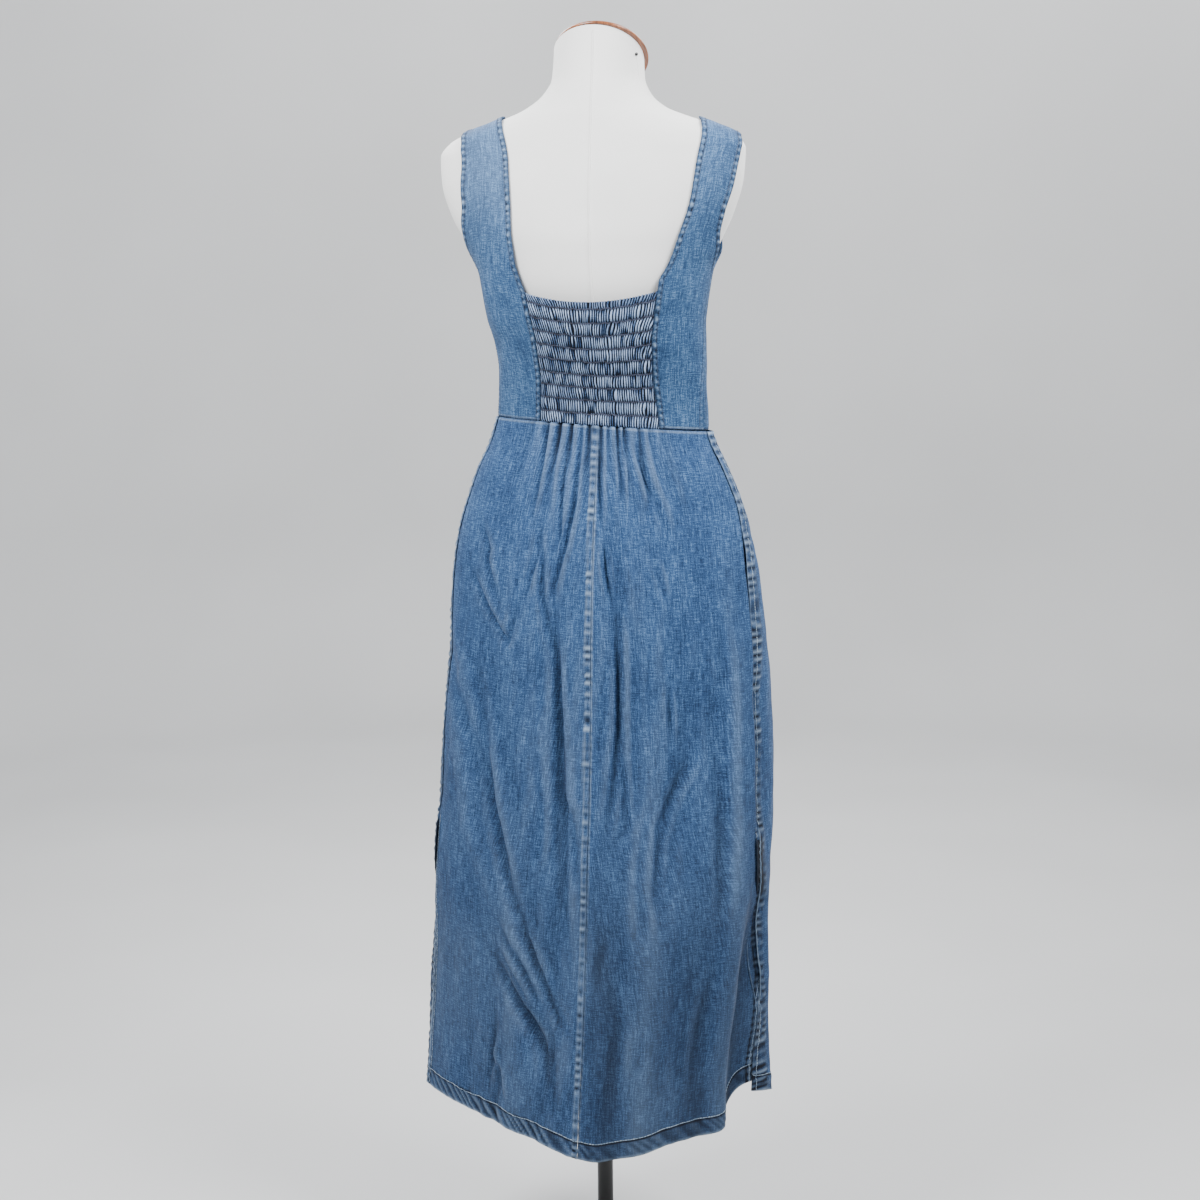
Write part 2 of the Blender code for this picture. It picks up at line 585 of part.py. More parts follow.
def front_panel():
    """Outer and inner points of the front bodice, and the opening between its straps."""
    guides, full_rows = front_bodice_guides()
    seam_rows = len(SEAM_SHARES) + 1
    faces = []
    for lift in (0.0, -WALL):
        points = dress_points(guides, lift)
        points[0, :, 2] = waist_height(points[0, :, 0]) + SEAM_GAP / 2
        points[:seam_rows, 0, 1] = seam_y(points[:seam_rows, 0, 2], 1) - SEAM_GAP / 2
        points[:seam_rows, -1, 1] = seam_y(points[:seam_rows, -1, 2], -1) - SEAM_GAP / 2
        points[-1, :, 1] = SHOULDER_Y - SEAM_GAP / 2
        faces.append(points)
    columns = range(STRAP_COLUMNS, STRAP_COLUMNS + CENTRE_COLUMNS + 1)
    return faces, (full_rows - 1, columns)


# ---------------------------------------------------------------- shirred panel
def shirred_shares():
    """Shares of the panel's height: the waist, each row of elastic, the puffs between and the top."""
    rows = np.linspace(FIRST_ELASTIC, LAST_ELASTIC, ELASTIC_ROWS)
    shares = [0.0]
    for row, elastic in enumerate(rows):
        if row:
            shares.append((rows[row - 1] + elastic) / 2)
        shares.append(elastic)
    return np.array(shares + [1.0])


def shirred_points(shares, column_shares, lift):
    """Points of the panel's plain skin at these shares of its height and width."""
    rows, columns = np.meshgrid(shares, column_shares, indexing="ij")
    half = shirred_half_width(rows) - SEAM_GAP / 2
    points_x = DRESS_CENTRE_X + half * columns
    low = waist_height(points_x)
    top = SHIRRED_TOP_CENTRE + (SHIRRED_TOP_CORNER - SHIRRED_TOP_CENTRE) * columns**2
    heights = low + (top - low) * rows
    guides = np.stack([points_x, surface_y(points_x, heights), heights], axis=-1)
    points = dress_points(guides, lift)
    points[..., 0] = points_x
    points[0, :, 2] += SEAM_GAP / 2
    return points


def pleat_relief(shares, columns):
    """How far each outer point stands out: pleats across, drawn in at each row of elastic."""
    pleats = np.arange(columns + 1)
    ridge = np.where(pleats % 2 == 1, 1.0, 0.0)
    uneven = 0.72 + 0.28 * np.sin(pleats * 1.9 + 0.7 * np.sin(pleats * 0.53))
    relief = np.zeros((len(shares), columns + 1))
    for row in range(len(shares)):
        is_puff = row % 2 == 0 and 0 < row < len(shares) - 1
        drift = 0.85 + 0.15 * np.sin(row * 2.1 + pleats * 0.31)
        relief[row] = PLEAT_HEIGHT * ridge * uneven * drift + (PUFF_HEIGHT if is_puff else 0.0)
    relief[:, 0] = relief[:, -1] = 0.0
    return relief


def build_shirred(material):
    """The gathered centre-back panel: pleats in its outer face over a plain inside."""
    columns = 2 * PLEATS
    shares = shirred_shares()
    column_shares = np.linspace(-1, 1, columns + 1)
    outer = shirred_points(shares, column_shares, 0.0)
    relief = pleat_relief(shares, columns)
    outer[..., 1] += relief
    inner = shirred_points(shares[::INNER_ROW_STEP], column_shares[::INNER_COLUMN_STEP], -WALL)
    mesh_data = bmesh.new()
    add_grid(mesh_data, outer)
    add_grid(mesh_data, inner)
    rims = [edge for edge in mesh_data.edges if edge.is_boundary]
    bmesh.ops.bridge_loops(mesh_data, edges=rims)
    bmesh.ops.triangulate(mesh_data, faces=mesh_data.faces)
    face_outwards(mesh_data)
    return new_object("back_shirred", mesh_data, material)


# ---------------------------------------------------------------- skirt
def centre_x(height):
    """The centre-back seam leans a little from the waist to the hem."""
    return np.interp(height, (HEM_CENTRE_HEIGHT, WAIST_HEIGHT), (HEM_CENTRE_X, DRESS_CENTRE_X))


def hem_height(table, turn):
    """The hem's height at a turn: low behind, and climbing into the corners of the right vent."""
    rows = np.array(table)
    return smooth_curve(rows[:, 0], rows[:, 1:], turn)[..., 0]


def fold_relief(folds, turn, height):
    """The sum of the folds at this turn and height."""
    relief = np.zeros(np.broadcast(turn, height).shape)
    for fold in folds:
        share = (fold.top - height) / (fold.top - fold.bottom)
        line = fold.top_turn + (fold.bottom_turn - fold.top_turn) * np.clip(share, 0, 1)
        away = (turn - line + 180) % 360 - 180
        shown = fade(share, -0.15, 0.35)
        if fold.bottom > HEM_ZONE:
            shown = shown * fade(share, 1.25, 0.75)
        relief = relief + fold.depth * shown * np.exp(-((away / fold.spread) ** 2))
    return relief


def turns_along(height, first_turn, last_turn, shares):
    """Turns that cut the stretch of the ring between two turns into these shares of its length."""
    fine = np.linspace(first_turn, last_turn, 120)
    points = ring_point(SKIRT_SECTIONS, fine, np.full_like(fine, height))
    steps = np.linalg.norm(np.diff(points, axis=0), axis=1)
    run = np.concatenate([[0.0], np.cumsum(steps)])
    return np.interp(np.asarray(shares) * run[-1], run, fine)


def gather_columns(gathers):
    """Columns of a back skirt panel: shares of the waist, and how far each stands out there."""
    shares, waves = [0.0], [0.0]
    for index, gather in enumerate(gathers):
        if index:
            before = gathers[index - 1]
            shares.append((before.distance + gather.distance) / 2 / BACK_WAIST_LENGTH)
            waves.append((before.depth + gather.depth) / 2)
        shares.append(gather.distance / BACK_WAIST_LENGTH)
        waves.append(-gather.depth)
    rest = np.linspace(shares[-1], 1.0, PLAIN_COLUMNS + 1)[1:]
    return np.concatenate([shares, rest]), np.concatenate([waves, np.zeros(len(rest))])


def skirt_grid(turns, waves, folds, hem_table, lift):
    """Points of a skirt panel; turns is an array of rows by columns."""
    shares = np.array(SKIRT_SHARES)[:, None]
    top = waist_height(ring_point(SKIRT_SECTIONS, turns[:1], WAIST_HEIGHT)[..., 0])
    heights = top + (hem_height(hem_table, turns) - top) * shares
    gathered = waves * (1 - fade(top - heights, 0.0, GATHER_REACH))
    hem = HEM_EXTRA if lift == 0 else 0.0
    relief = fold_relief(folds, turns, heights) + gathered + hem * (shares > HEM_SHARE)
    points = ring_point(SKIRT_SECTIONS, turns, heights, relief + lift)
    points[0, :, 2] = waist_height(points[0, :, 0]) - SEAM_GAP / 2
    return points


def vent_gap(heights):
    """Half the gap along a side seam: sewn above the vent, gaping a little more towards the hem."""
    return SEAM_GAP / 2 + VENT_GAPE * fade(heights, VENT_TOP, HEM_CENTRE_HEIGHT)


def back_skirt(side):
    """Outer and inner points of a back skirt panel; columns go from the centre back outwards."""
    shares, waves = gather_columns(GATHERS_LEFT if side > 0 else GATHERS_RIGHT)
    drop = WAIST_HEIGHT - HEM_CENTRE_HEIGHT
    turns = []
    for share in SKIRT_SHARES:
        height = WAIST_HEIGHT - drop * share
        spread = 1 - (1 - FULLNESS) * fade(share, 0.0, 0.8)
        middle = section_at(SKIRT_SECTIONS, height)
        aside = centre_x(height) - middle.middle_x
        first = np.degrees(np.arctan2(aside, middle.back - middle.side_y))
        last = seam_turn(SKIRT_SECTIONS, height, side, vent_gap(height))
        turns.append(turns_along(height, first, last, shares**spread))
    turns = np.array(turns)
    faces = []
    for lift in (0.0, -WALL):
        points = skirt_grid(turns, waves, BACK_FOLDS, BACK_HEM, lift)
        points[:, 0, 0] = centre_x(points[:, 0, 2]) + side * SEAM_GAP / 2
        points[:, -1, 1] = seam_y(points[:, -1, 2], side) + vent_gap(points[:, -1, 2])
        faces.append(points)
    return faces


def front_skirt():
    """Outer and inner points of the front skirt panel, from the left seam round to the right."""
    shares = np.linspace(0, 1, FRONT_SKIRT_COLUMNS + 1)
    drop = WAIST_HEIGHT - HEM_CENTRE_HEIGHT
    turns = []
    for share in SKIRT_SHARES:
        height = WAIST_HEIGHT - drop * share
        first = seam_turn(SKIRT_SECTIONS, height, 1, -vent_gap(height))
        last = seam_turn(SKIRT_SECTIONS, height, -1, -vent_gap(height)) + 360
        turns.append(turns_along(height, first, last, shares))
    turns = np.array(turns)
    faces = []
    for lift in (0.0, -WALL):
        points = skirt_grid(turns, 0.0, FRONT_FOLDS, FRONT_HEM, lift)
        points[:, 0, 1] = seam_y(points[:, 0, 2], 1) - vent_gap(points[:, 0, 2])
        points[:, -1, 1] = seam_y(points[:, -1, 2], -1) - vent_gap(points[:, -1, 2])
        faces.append(points)
    return faces


# ---------------------------------------------------------------- form and stand
def neck_plane_height(points_y, drop=0.0):
    """The slanted cut on top of the neck, lowered by drop along its own normal."""
    return NECK_BACK_HEIGHT + (points_y - NECK_BACK_Y) * math.tan(NECK_SLANT) - drop / math.cos(NECK_SLANT)


def neck_rim(drop, widen=0.0, shift_x=0.0):
    """The neck's outline on the slanted plane."""
    turn = np.arange(FORM_COLUMNS) * 360 / FORM_COLUMNS
    height = np.full(FORM_COLUMNS, NECK_BACK_HEIGHT)
    for _ in range(30):
        points = ring_point(FORM_SECTIONS, turn, height, widen)
        height = neck_plane_height(points[:, 1], drop)
    points = ring_point(FORM_SECTIONS, turn, height, widen)
    points[:, 0] += shift_x
    points[:, 2] = neck_plane_height(points[:, 1], drop)
    return points


def loft(name, rings, material, bevel=0.0, datum=TABLE_DATUM):
    """A closed body through rings of points, each ring extruded from the one below."""
    mesh_data = bmesh.new()
    made = bmesh.ops.create_circle(mesh_data, cap_ends=True, segments=len(rings[0]), radius=1.0)
    ring = made["verts"]
    for vert, place in zip(ring, rings[0]):
        vert.co = place
    for points in rings[1:]:
        rim = [edge for edge in mesh_data.edges if set(edge.verts) <= set(ring)]
        grown = bmesh.ops.extrude_edge_only(mesh_data, edges=rim)
        new = {part for part in grown["geom"] if isinstance(part, bmesh.types.BMVert)}
        above = []
        for vert in ring:
            above.append(next(e.other_vert(vert) for e in vert.link_edges if e.other_vert(vert) in new))
        ring = above
        for vert, place in zip(ring, points):
            vert.co = place
    bmesh.ops.contextual_create(mesh_data, geom=[e for e in mesh_data.edges if e.is_boundary])
    face_outwards(mesh_data)
    if bevel:
        flat = [face for face in mesh_data.faces if len(face.verts) > 4]
        rims = list({edge for face in flat for edge in face.edges})
        bmesh.ops.bevel(
            mesh_data, geom=rims, offset=bevel, offset_type="OFFSET", affect="EDGES",
            segments=2, profile=0.5, material=-1,
        )  # fmt: skip
    return new_object(name, mesh_data, material, datum)


def build_form(material):
    """The covered torso, with a flat underside and a slanted cut on top of the neck."""
    turn = np.arange(FORM_COLUMNS) * 360 / FORM_COLUMNS
    rings = [ring_point(FORM_SECTIONS, turn, np.full(FORM_COLUMNS, height)) for height in FORM_HEIGHTS]
    rim = neck_rim(0.0)
    last = rings[-1]
    low = last[:, 2].max()
    for share in NECK_SHARES:
        height = low + (rim[:, 2] - low) * share
        rings.append(ring_point(FORM_SECTIONS, turn, height))
    rings.append(rim)
    return loft("form_torso", rings, material)


def build_neck_cap(material):
    """The wooden disc that closes the neck, on its slanted cut."""
    lower = neck_rim(-SEAM_GAP, CAP_OVERHANG, CAP_SHIFT_X)
    upper = lower + np.array([0, -math.sin(NECK_SLANT), math.cos(NECK_SLANT)]) * CAP_THICKNESS
    return loft("neck_cap", [lower, upper], material, bevel=CAP_BEVEL)


def build_round(name, radius, low, high, material, bevel=0.0):
    """A round bar or plate standing on the axis."""
    angle = np.arange(ROUND_SEGMENTS) * 2 * math.pi / ROUND_SEGMENTS
    circle = np.stack([radius * np.cos(angle), radius * np.sin(angle), np.zeros_like(angle)], axis=-1)
    return loft(name, [circle + [0, 0, low], circle + [0, 0, high]], material, bevel, datum=0.0)


# ---------------------------------------------------------------- materials and assembly
def material(name, colour, roughness, metallic=0.0):
    """A plain Principled material."""
    made = bpy.data.materials.new(name)
    made.use_nodes = True
    shader = made.node_tree.nodes["Principled BSDF"]
    shader.inputs["Base Color"].default_value = (*colour, 1.0)
    shader.inputs["Roughness"].default_value = roughness
    shader.inputs["Metallic"].default_value = metallic
    return made


def clear_scene():
    """Removes whatever the scene holds."""
    for thing in list(bpy.data.objects):
        bpy.data.objects.remove(thing)


def main():
    """Builds the dress, the form and its stand."""
    clear_scene()
    light_denim = material("washed denim, bodice", (0.135, 0.235, 0.385), 0.85)
    skirt_denim = material("washed denim, skirt", (0.105, 0.195, 0.335), 0.85)
    shirred_denim = material("shirred denim", (0.085, 0.165, 0.320), 0.88)
    jersey = material("off-white jersey", (0.78, 0.78, 0.76), 0.80)
    wood = material("varnished wood", (0.230, 0.085, 0.030), 0.40)
    black_metal = material("black painted steel", (0.012, 0.012, 0.013), 0.45)

    for side, word in ((1, "left"), (-1, "right")):
        cloth_wall(f"back_side_{word}", *strap_panel(side), light_denim)
        cloth_wall(f"skirt_back_{word}", *back_skirt(side), skirt_denim)
    faces, opening = front_panel()
    cloth_wall("front_bodice", *faces, light_denim, opening)
    cloth_wall("skirt_front", *front_skirt(), skirt_denim)
    build_shirred(shirred_denim)

    build_form(jersey)
    build_neck_cap(wood)
    pole_top = FORM_BOTTOM + TABLE_DATUM - SEAM_GAP
    build_round("pole", POLE_RADIUS, BASE_THICKNESS + SEAM_GAP, pole_top, black_metal)
    build_round("base", BASE_RADIUS, 0.0, BASE_THICKNESS, black_metal, BASE_BEVEL)


main()
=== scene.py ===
"""The looks of a sleeveless washed-denim dress and of the dress form that carries it.

Metres, +Z up. The origin is the middle of the base plate's underside. The dress faces -Y, its
back faces +Y, and the wearer's left is +X. A turn is an angle round the dress, in degrees from
the centre back, positive towards the wearer's left. Heights in the tables count from TABLE_DATUM.
"""

from __future__ import annotations

import logging
import math
from dataclasses import dataclass, field, replace
from enum import Enum
from typing import Any, NamedTuple, Sequence

import bmesh
import bpy
import numpy as np
from bmesh.types import BMesh, BMVert
from bpy.types import Material, Node, NodeTree, Object
from mathutils import Matrix, Vector

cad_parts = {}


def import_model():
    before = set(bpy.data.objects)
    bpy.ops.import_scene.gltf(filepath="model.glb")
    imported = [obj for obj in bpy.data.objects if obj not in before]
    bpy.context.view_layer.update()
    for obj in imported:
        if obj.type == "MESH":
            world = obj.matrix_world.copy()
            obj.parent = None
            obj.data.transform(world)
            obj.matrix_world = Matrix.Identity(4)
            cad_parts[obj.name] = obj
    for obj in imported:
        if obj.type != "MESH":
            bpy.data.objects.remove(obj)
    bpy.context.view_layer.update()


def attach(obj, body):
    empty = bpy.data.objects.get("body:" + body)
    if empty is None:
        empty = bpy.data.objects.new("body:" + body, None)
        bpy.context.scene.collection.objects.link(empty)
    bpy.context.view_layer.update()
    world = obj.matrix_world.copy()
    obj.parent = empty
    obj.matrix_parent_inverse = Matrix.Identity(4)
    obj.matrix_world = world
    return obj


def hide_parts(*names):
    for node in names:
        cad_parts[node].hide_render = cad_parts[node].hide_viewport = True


logging.basicConfig(level=logging.INFO, format="%(message)s")
LOG = logging.getLogger("dress")
Array = np.ndarray
Point = tuple[float, float, float]

TABLE_DATUM = 0.040
RAISED = np.array([0.0, 0.0, TABLE_DATUM])  # takes a table's height to the scene's
BODY_AXIS = np.array([0.0, -0.02, 0.0])  # cloth faces away from here
FAR = 9.0  # a distance that no edge or crease reaches
WALL = 0.0018  # the solid cloth's thickness
SHELL = 0.0013  # the visible cloth's thickness
SEAM_GAP = 0.0001
REST_GAP = 0.0016  # between the cloth and the form
SEAM_LINE = 0.0062  # from a turned edge to its stitches
WAIST_LINE = 0.0024  # from the waist seam to its stitches
STRAP_CROWDING = 1.15  # rows lie closer together towards the shoulder
BODICE_SEAM_ROWS = 8  # guide points along the bodice's side seam
WAIST_HEIGHT = 1.0505
WAIST_TILT = 0.07
WAIST_HALF_WIDTH = 0.130
DRESS_CENTRE_X = -0.009
HEM_CENTRE_X = -0.003
HEM_CENTRE_HEIGHT = 0.185
VENT_TOP = 0.565
LAP_ENDS = 0.475  # above it the vent's front edge lies on top, below it the back edge
CORE_Y, CORE_TOP = -0.010, 1.27  # rays leave the form's core from here
SHOULDER_Y = -0.010
LOOSE_TOP, RESTING_FROM = 1.235, 1.300  # the bodice hangs below these heights, and lies on the form above
METRES_PER_DEGREE = 0.0032  # along the skirt, for the creases' widths
CREASE_GAIN = 2.0


# ---------------------------------------------------------------- small tools
def linear(code: str) -> tuple[float, float, float, float]:
    """An sRGB hex colour as linear RGBA.

    Args:
        code: the colour as #rrggbb.
    Returns:
        Red, green, blue and an alpha of 1.
    """
    parts = [int(code[i : i + 2], 16) / 255 for i in (1, 3, 5)]
    flat = [c / 12.92 if c <= 0.04045 else ((c + 0.055) / 1.055) ** 2.4 for c in parts]
    return (flat[0], flat[1], flat[2], 1.0)


def smooth_curve(knots: Array, values: Array, at: Any) -> Array:
    """Values along a smooth curve through the knots that never overshoots them.

    Args:
        knots: rising knot positions.
        values: a row of values for each knot.
        at: positions to read.
    Returns:
        The values, with the shape of at and a last axis for the columns.
    """
    steps = np.diff(knots)[:, None]
    slopes = np.diff(values, axis=0) / steps
    agree = slopes[1:] * slopes[:-1]
    total = np.where(agree > 0, slopes[1:] + slopes[:-1], 1.0)
    tangents = np.vstack([slopes[:1], np.where(agree > 0, 2 * agree / total, 0.0), slopes[-1:]])
    at = np.clip(np.asarray(at, float), knots[0], knots[-1])
    below = np.clip(np.searchsorted(knots, at) - 1, 0, len(knots) - 2)
    step = (knots[below + 1] - knots[below])[..., None]
    share = (at - knots[below])[..., None] / step
    rise = share**2 * (3 - 2 * share)
    leave = share * (1 - share) ** 2 * step * tangents[below]
    arrive = share**2 * (share - 1) * step * tangents[below + 1]
    return values[below] * (1 - rise) + values[below + 1] * rise + leave + arrive


def fade(value: Any, start: float, end: float) -> Array:
    """0 at start and 1 at end, with level ends."""
    share = np.clip((np.asarray(value, float) - start) / (end - start), 0, 1)
    return share * share * (3 - 2 * share)


def bump(value: Any, middle: float, width: float) -> Array:
    """A rounded hump of height 1 at the middle."""
    return np.exp(-(((np.asarray(value, float) - middle) / width) ** 2))


def patchy(u: Array, v: Array, seed: int) -> Array:
    """Smooth uneven values from -1 to 1 over a plane, one cell to each unit of u and v.

    Args:
        u: places along the plane's first direction, in cells.
        v: places along its second direction, in cells.
        seed: which pattern.
    Returns:
        The values, with the shape that u and v have together.
    """
    table = np.random.default_rng(seed).uniform(-1, 1, (64, 64))
    u, v = np.broadcast_arrays(np.asarray(u, float), np.asarray(v, float))
    iu, iv = np.floor(u).astype(int), np.floor(v).astype(int)
    fu, fv = u - iu, v - iv
    fu, fv = fu * fu * (3 - 2 * fu), fv * fv * (3 - 2 * fv)
    low = table[iu % 64, iv % 64] * (1 - fu) + table[(iu + 1) % 64, iv % 64] * fu
    high = table[iu % 64, (iv + 1) % 64] * (1 - fu) + table[(iu + 1) % 64, (iv + 1) % 64] * fu
    return low * (1 - fv) + high * fv


def along(points: Array, axis: int) -> Array:
    """Distance run over a grid of points.

    Args:
        points: the grid.
        axis: 1 to run along its rows, 0 to run along its columns.
    Returns:
        The distance from the first point of the row or column to each point.
    """
    steps = np.linalg.norm(np.diff(points, axis=axis), axis=-1)
    pad = [(0, 0), (0, 0)]
    pad[axis] = (1, 0)
    return np.cumsum(np.pad(steps, pad), axis=axis)


def run_length(line: Array) -> Array:
    """Distance run along a line of points, from 0."""
    return np.concatenate([[0.0], np.cumsum(np.linalg.norm(np.diff(line, axis=0), axis=1))])


# ---------------------------------------------------------------- forms in sections
class Section(NamedTuple):
    """One level cut: two half-ellipses, a back and a front one, sharing their side points."""

    height: float
    half_width: float
    middle_x: float
    side_y: float
    back: float
    front: float
    back_power: float


@dataclass(frozen=True)
class Outline:
    """A form round the stand's axis, read from its sections, bottom to top."""

    rows: tuple[Section, ...]
    nearest: float = 0.01
    farthest: float = 0.40
    halvings: int = 26

    def at(self, height: Any) -> Section:
        """The section at each height.

        Args:
            height: heights by the tables' datum.
        Returns:
            The section, with an array in each field.
        """
        rows = np.array(self.rows)
        found = smooth_curve(rows[:, 0], rows[:, 1:], height)
        return Section(height, *np.moveaxis(found, -1, 0))

    def halves(self, section: Section, run: Array) -> tuple[Array, Array]:
        """Depth and power of the half on which each point lies."""
        depth = np.where(run >= 0, section.back - section.side_y, section.side_y - section.front)
        return depth, np.where(run >= 0, section.back_power, 2.0)

    def ring(self, turn: Any, height: Any, lift: Any = 0.0) -> Array:
        """Points at these turns and heights.

        Args:
            turn: turns in degrees.
            height: heights by the tables' datum.
            lift: metres that they stand out from the form.
        Returns:
            The points, with the shape that turn and height have together.
        """
        section = self.at(height)
        across, run = np.sin(np.radians(turn)), np.cos(np.radians(turn))
        depth, power = self.halves(section, run)
        reach = (np.abs(across) / section.half_width) ** power + (np.abs(run) / depth) ** power
        reach = reach ** (-1 / power) + lift
        flat = (section.middle_x + reach * across, section.side_y + reach * run, height)
        return np.stack(np.broadcast_arrays(*flat), axis=-1)

    def reach(self, core: Array, direction: Array) -> Array:
        """How far each ray runs from the core to the form, found by halving.

        Args:
            core: where each ray starts, inside the form.
            direction: the rays' unit directions.
        Returns:
            The length of each ray.
        """
        near = np.full(direction.shape[:-1], self.nearest)
        far = np.full(direction.shape[:-1], self.farthest)
        for _ in range(self.halvings):
            middle = (near + far) / 2
            points = core + direction * middle[..., None]
            section = self.at(points[..., 2])
            run = points[..., 1] - section.side_y
            depth, power = self.halves(section, run)
            across = np.abs(points[..., 0] - section.middle_x) / section.half_width
            outside = across**power + (np.abs(run) / depth) ** power > 1
            far, near = np.where(outside, middle, far), np.where(outside, near, middle)
        return far


FORM = Outline(tuple(Section(*row) for row in (
    (0.740, 0.148, 0.000, -0.008, 0.060, -0.080, 2.1),
    (0.800, 0.166, 0.000, -0.010, 0.068, -0.092, 2.1),
    (0.860, 0.174, 0.000, -0.012, 0.066, -0.098, 2.1),
    (0.920, 0.164, 0.000, -0.014, 0.056, -0.097, 2.1),
    (0.980, 0.142, 0.000, -0.015, 0.043, -0.090, 2.1),
    (1.050, 0.117, 0.000, -0.016, 0.031, -0.082, 2.1),
    (1.120, 0.116, 0.000, -0.012, 0.050, -0.088, 2.1),
    (1.180, 0.123, 0.001, -0.008, 0.073, -0.104, 2.1),
    (1.225, 0.134, 0.002, -0.004, 0.080, -0.115, 2.1),
    (1.262, 0.152, 0.004, 0.000, 0.079, -0.113, 2.0),
    (1.300, 0.172, 0.005, 0.006, 0.072, -0.102, 2.0),
    (1.340, 0.184, 0.005, 0.008, 0.063, -0.090, 2.0),
    (1.372, 0.186, 0.005, 0.006, 0.054, -0.080, 2.0),
    (1.388, 0.175, 0.005, 0.002, 0.050, -0.076, 2.0),
    (1.400, 0.152, 0.006, -0.004, 0.047, -0.074, 2.0),
    (1.412, 0.118, 0.006, -0.010, 0.044, -0.073, 2.0),
    (1.425, 0.087, 0.005, -0.016, 0.040, -0.072, 2.0),
    (1.442, 0.066, 0.003, -0.022, 0.035, -0.074, 2.0),
    (1.462, 0.056, 0.002, -0.027, 0.029, -0.078, 2.0),
    (1.490, 0.0545, 0.002, -0.031, 0.022, -0.084, 2.0),
    (1.540, 0.0545, 0.001, -0.040, 0.012, -0.092, 2.0),
)))

BODICE = Outline(tuple(Section(*row) for row in (
    (1.030, 0.1315, -0.002, -0.015, 0.042, -0.090, 2.0),
    (1.060, 0.1310, -0.002, -0.014, 0.043, -0.090, 2.0),
    (1.090, 0.1290, -0.002, -0.013, 0.051, -0.093, 2.0),
    (1.120, 0.1285, -0.003, -0.011, 0.062, -0.099, 2.05),
    (1.150, 0.1300, -0.001, -0.009, 0.073, -0.108, 2.1),
    (1.180, 0.1345, 0.003, -0.006, 0.082, -0.116, 2.1),
    (1.210, 0.1390, 0.003, -0.004, 0.086, -0.122, 2.1),
    (1.235, 0.1440, 0.003, -0.002, 0.086, -0.123, 2.05),
    (1.262, 0.1580, 0.002, 0.000, 0.084, -0.119, 2.0),
    (1.300, 0.1740, 0.003, 0.006, 0.077, -0.107, 2.0),
)))

SKIRT = Outline(tuple(Section(*row) for row in (
    (0.170, 0.2260, 0.010, 0.014, 0.166, -0.152, 1.2),
    (0.257, 0.2210, 0.010, 0.010, 0.148, -0.145, 1.3),
    (0.320, 0.2180, 0.009, 0.006, 0.132, -0.140, 1.45),
    (0.390, 0.2155, 0.007, 0.002, 0.121, -0.136, 1.6),
    (0.455, 0.2125, 0.005, 0.000, 0.113, -0.132, 1.75),
    (0.520, 0.2115, 0.002, -0.003, 0.106, -0.129, 1.9),
    (0.580, 0.2105, -0.002, -0.006, 0.098, -0.127, 2.0),
    (0.645, 0.2090, -0.0035, -0.008, 0.091, -0.125, 2.0),
    (0.710, 0.2065, -0.0045, -0.010, 0.087, -0.123, 2.0),
    (0.770, 0.2010, -0.006, -0.010, 0.085, -0.121, 2.0),
    (0.820, 0.1965, -0.005, -0.011, 0.082, -0.118, 2.0),
    (0.870, 0.1920, -0.003, -0.012, 0.077, -0.114, 2.0),
    (0.900, 0.1870, -0.002, -0.012, 0.072, -0.111, 2.0),
    (0.930, 0.1800, -0.002, -0.013, 0.066, -0.107, 2.0),
    (0.960, 0.1705, -0.002, -0.014, 0.060, -0.103, 2.0),
    (0.995, 0.1570, -0.001, -0.014, 0.053, -0.098, 2.0),
    (1.030, 0.1405, -0.001, -0.015, 0.046, -0.092, 2.0),
    (1.060, 0.1315, -0.002, -0.014, 0.043, -0.090, 2.0),
)))


class SeamRow(NamedTuple):
    """The side seams' depth at a height, on the wearer's right and left."""

    height: float
    right_y: float
    left_y: float


SIDE_SEAM = tuple(SeamRow(*row) for row in (
    (0.200, 0.024, 0.022), (0.330, 0.009, 0.021), (0.450, 0.022, 0.020),
    (0.576, 0.039, 0.019), (0.720, 0.032, 0.016), (0.875, 0.017, 0.010),
    (0.957, 0.003, 0.002), (1.052, 0.000, 0.000), (1.232, -0.004, -0.004),
))


class StrapRow(NamedTuple):
    """Guide points of a strap's two edges: the neck edge, then the armhole."""

    neck_x: float
    neck_y: float
    neck_z: float
    arm_x: float
    arm_y: float
    arm_z: float


BACK_STRAP = {
    1: (
        StrapRow(0.0735, 0.073, 1.220, 0.1465, -0.004, 1.232),
        StrapRow(0.0775, 0.068, 1.240, 0.1465, 0.013, 1.259),
        StrapRow(0.0815, 0.066, 1.268, 0.1435, 0.030, 1.282),
        StrapRow(0.0840, 0.062, 1.303, 0.1430, 0.039, 1.310),
        StrapRow(0.0875, 0.055, 1.340, 0.1452, 0.038, 1.343),
        StrapRow(0.0935, 0.044, 1.377, 0.1485, 0.030, 1.376),
        StrapRow(0.1020, 0.022, 1.403, 0.1525, 0.012, 1.393),
        StrapRow(0.1110, SHOULDER_Y, 1.415, 0.1545, SHOULDER_Y, 1.401),
    ),
    -1: (
        StrapRow(-0.0910, 0.068, 1.219, -0.1420, -0.004, 1.234),
        StrapRow(-0.0985, 0.060, 1.240, -0.1430, 0.011, 1.257),
        StrapRow(-0.1100, 0.057, 1.272, -0.1520, 0.024, 1.281),
        StrapRow(-0.1195, 0.053, 1.301, -0.1600, 0.028, 1.303),
        StrapRow(-0.1260, 0.049, 1.335, -0.1700, 0.027, 1.332),
        StrapRow(-0.1290, 0.040, 1.368, -0.1755, 0.021, 1.362),
        StrapRow(-0.1270, 0.018, 1.400, -0.1760, 0.008, 1.386),
        StrapRow(-0.1215, SHOULDER_Y, 1.410, -0.1730, SHOULDER_Y, 1.390),
    ),
}
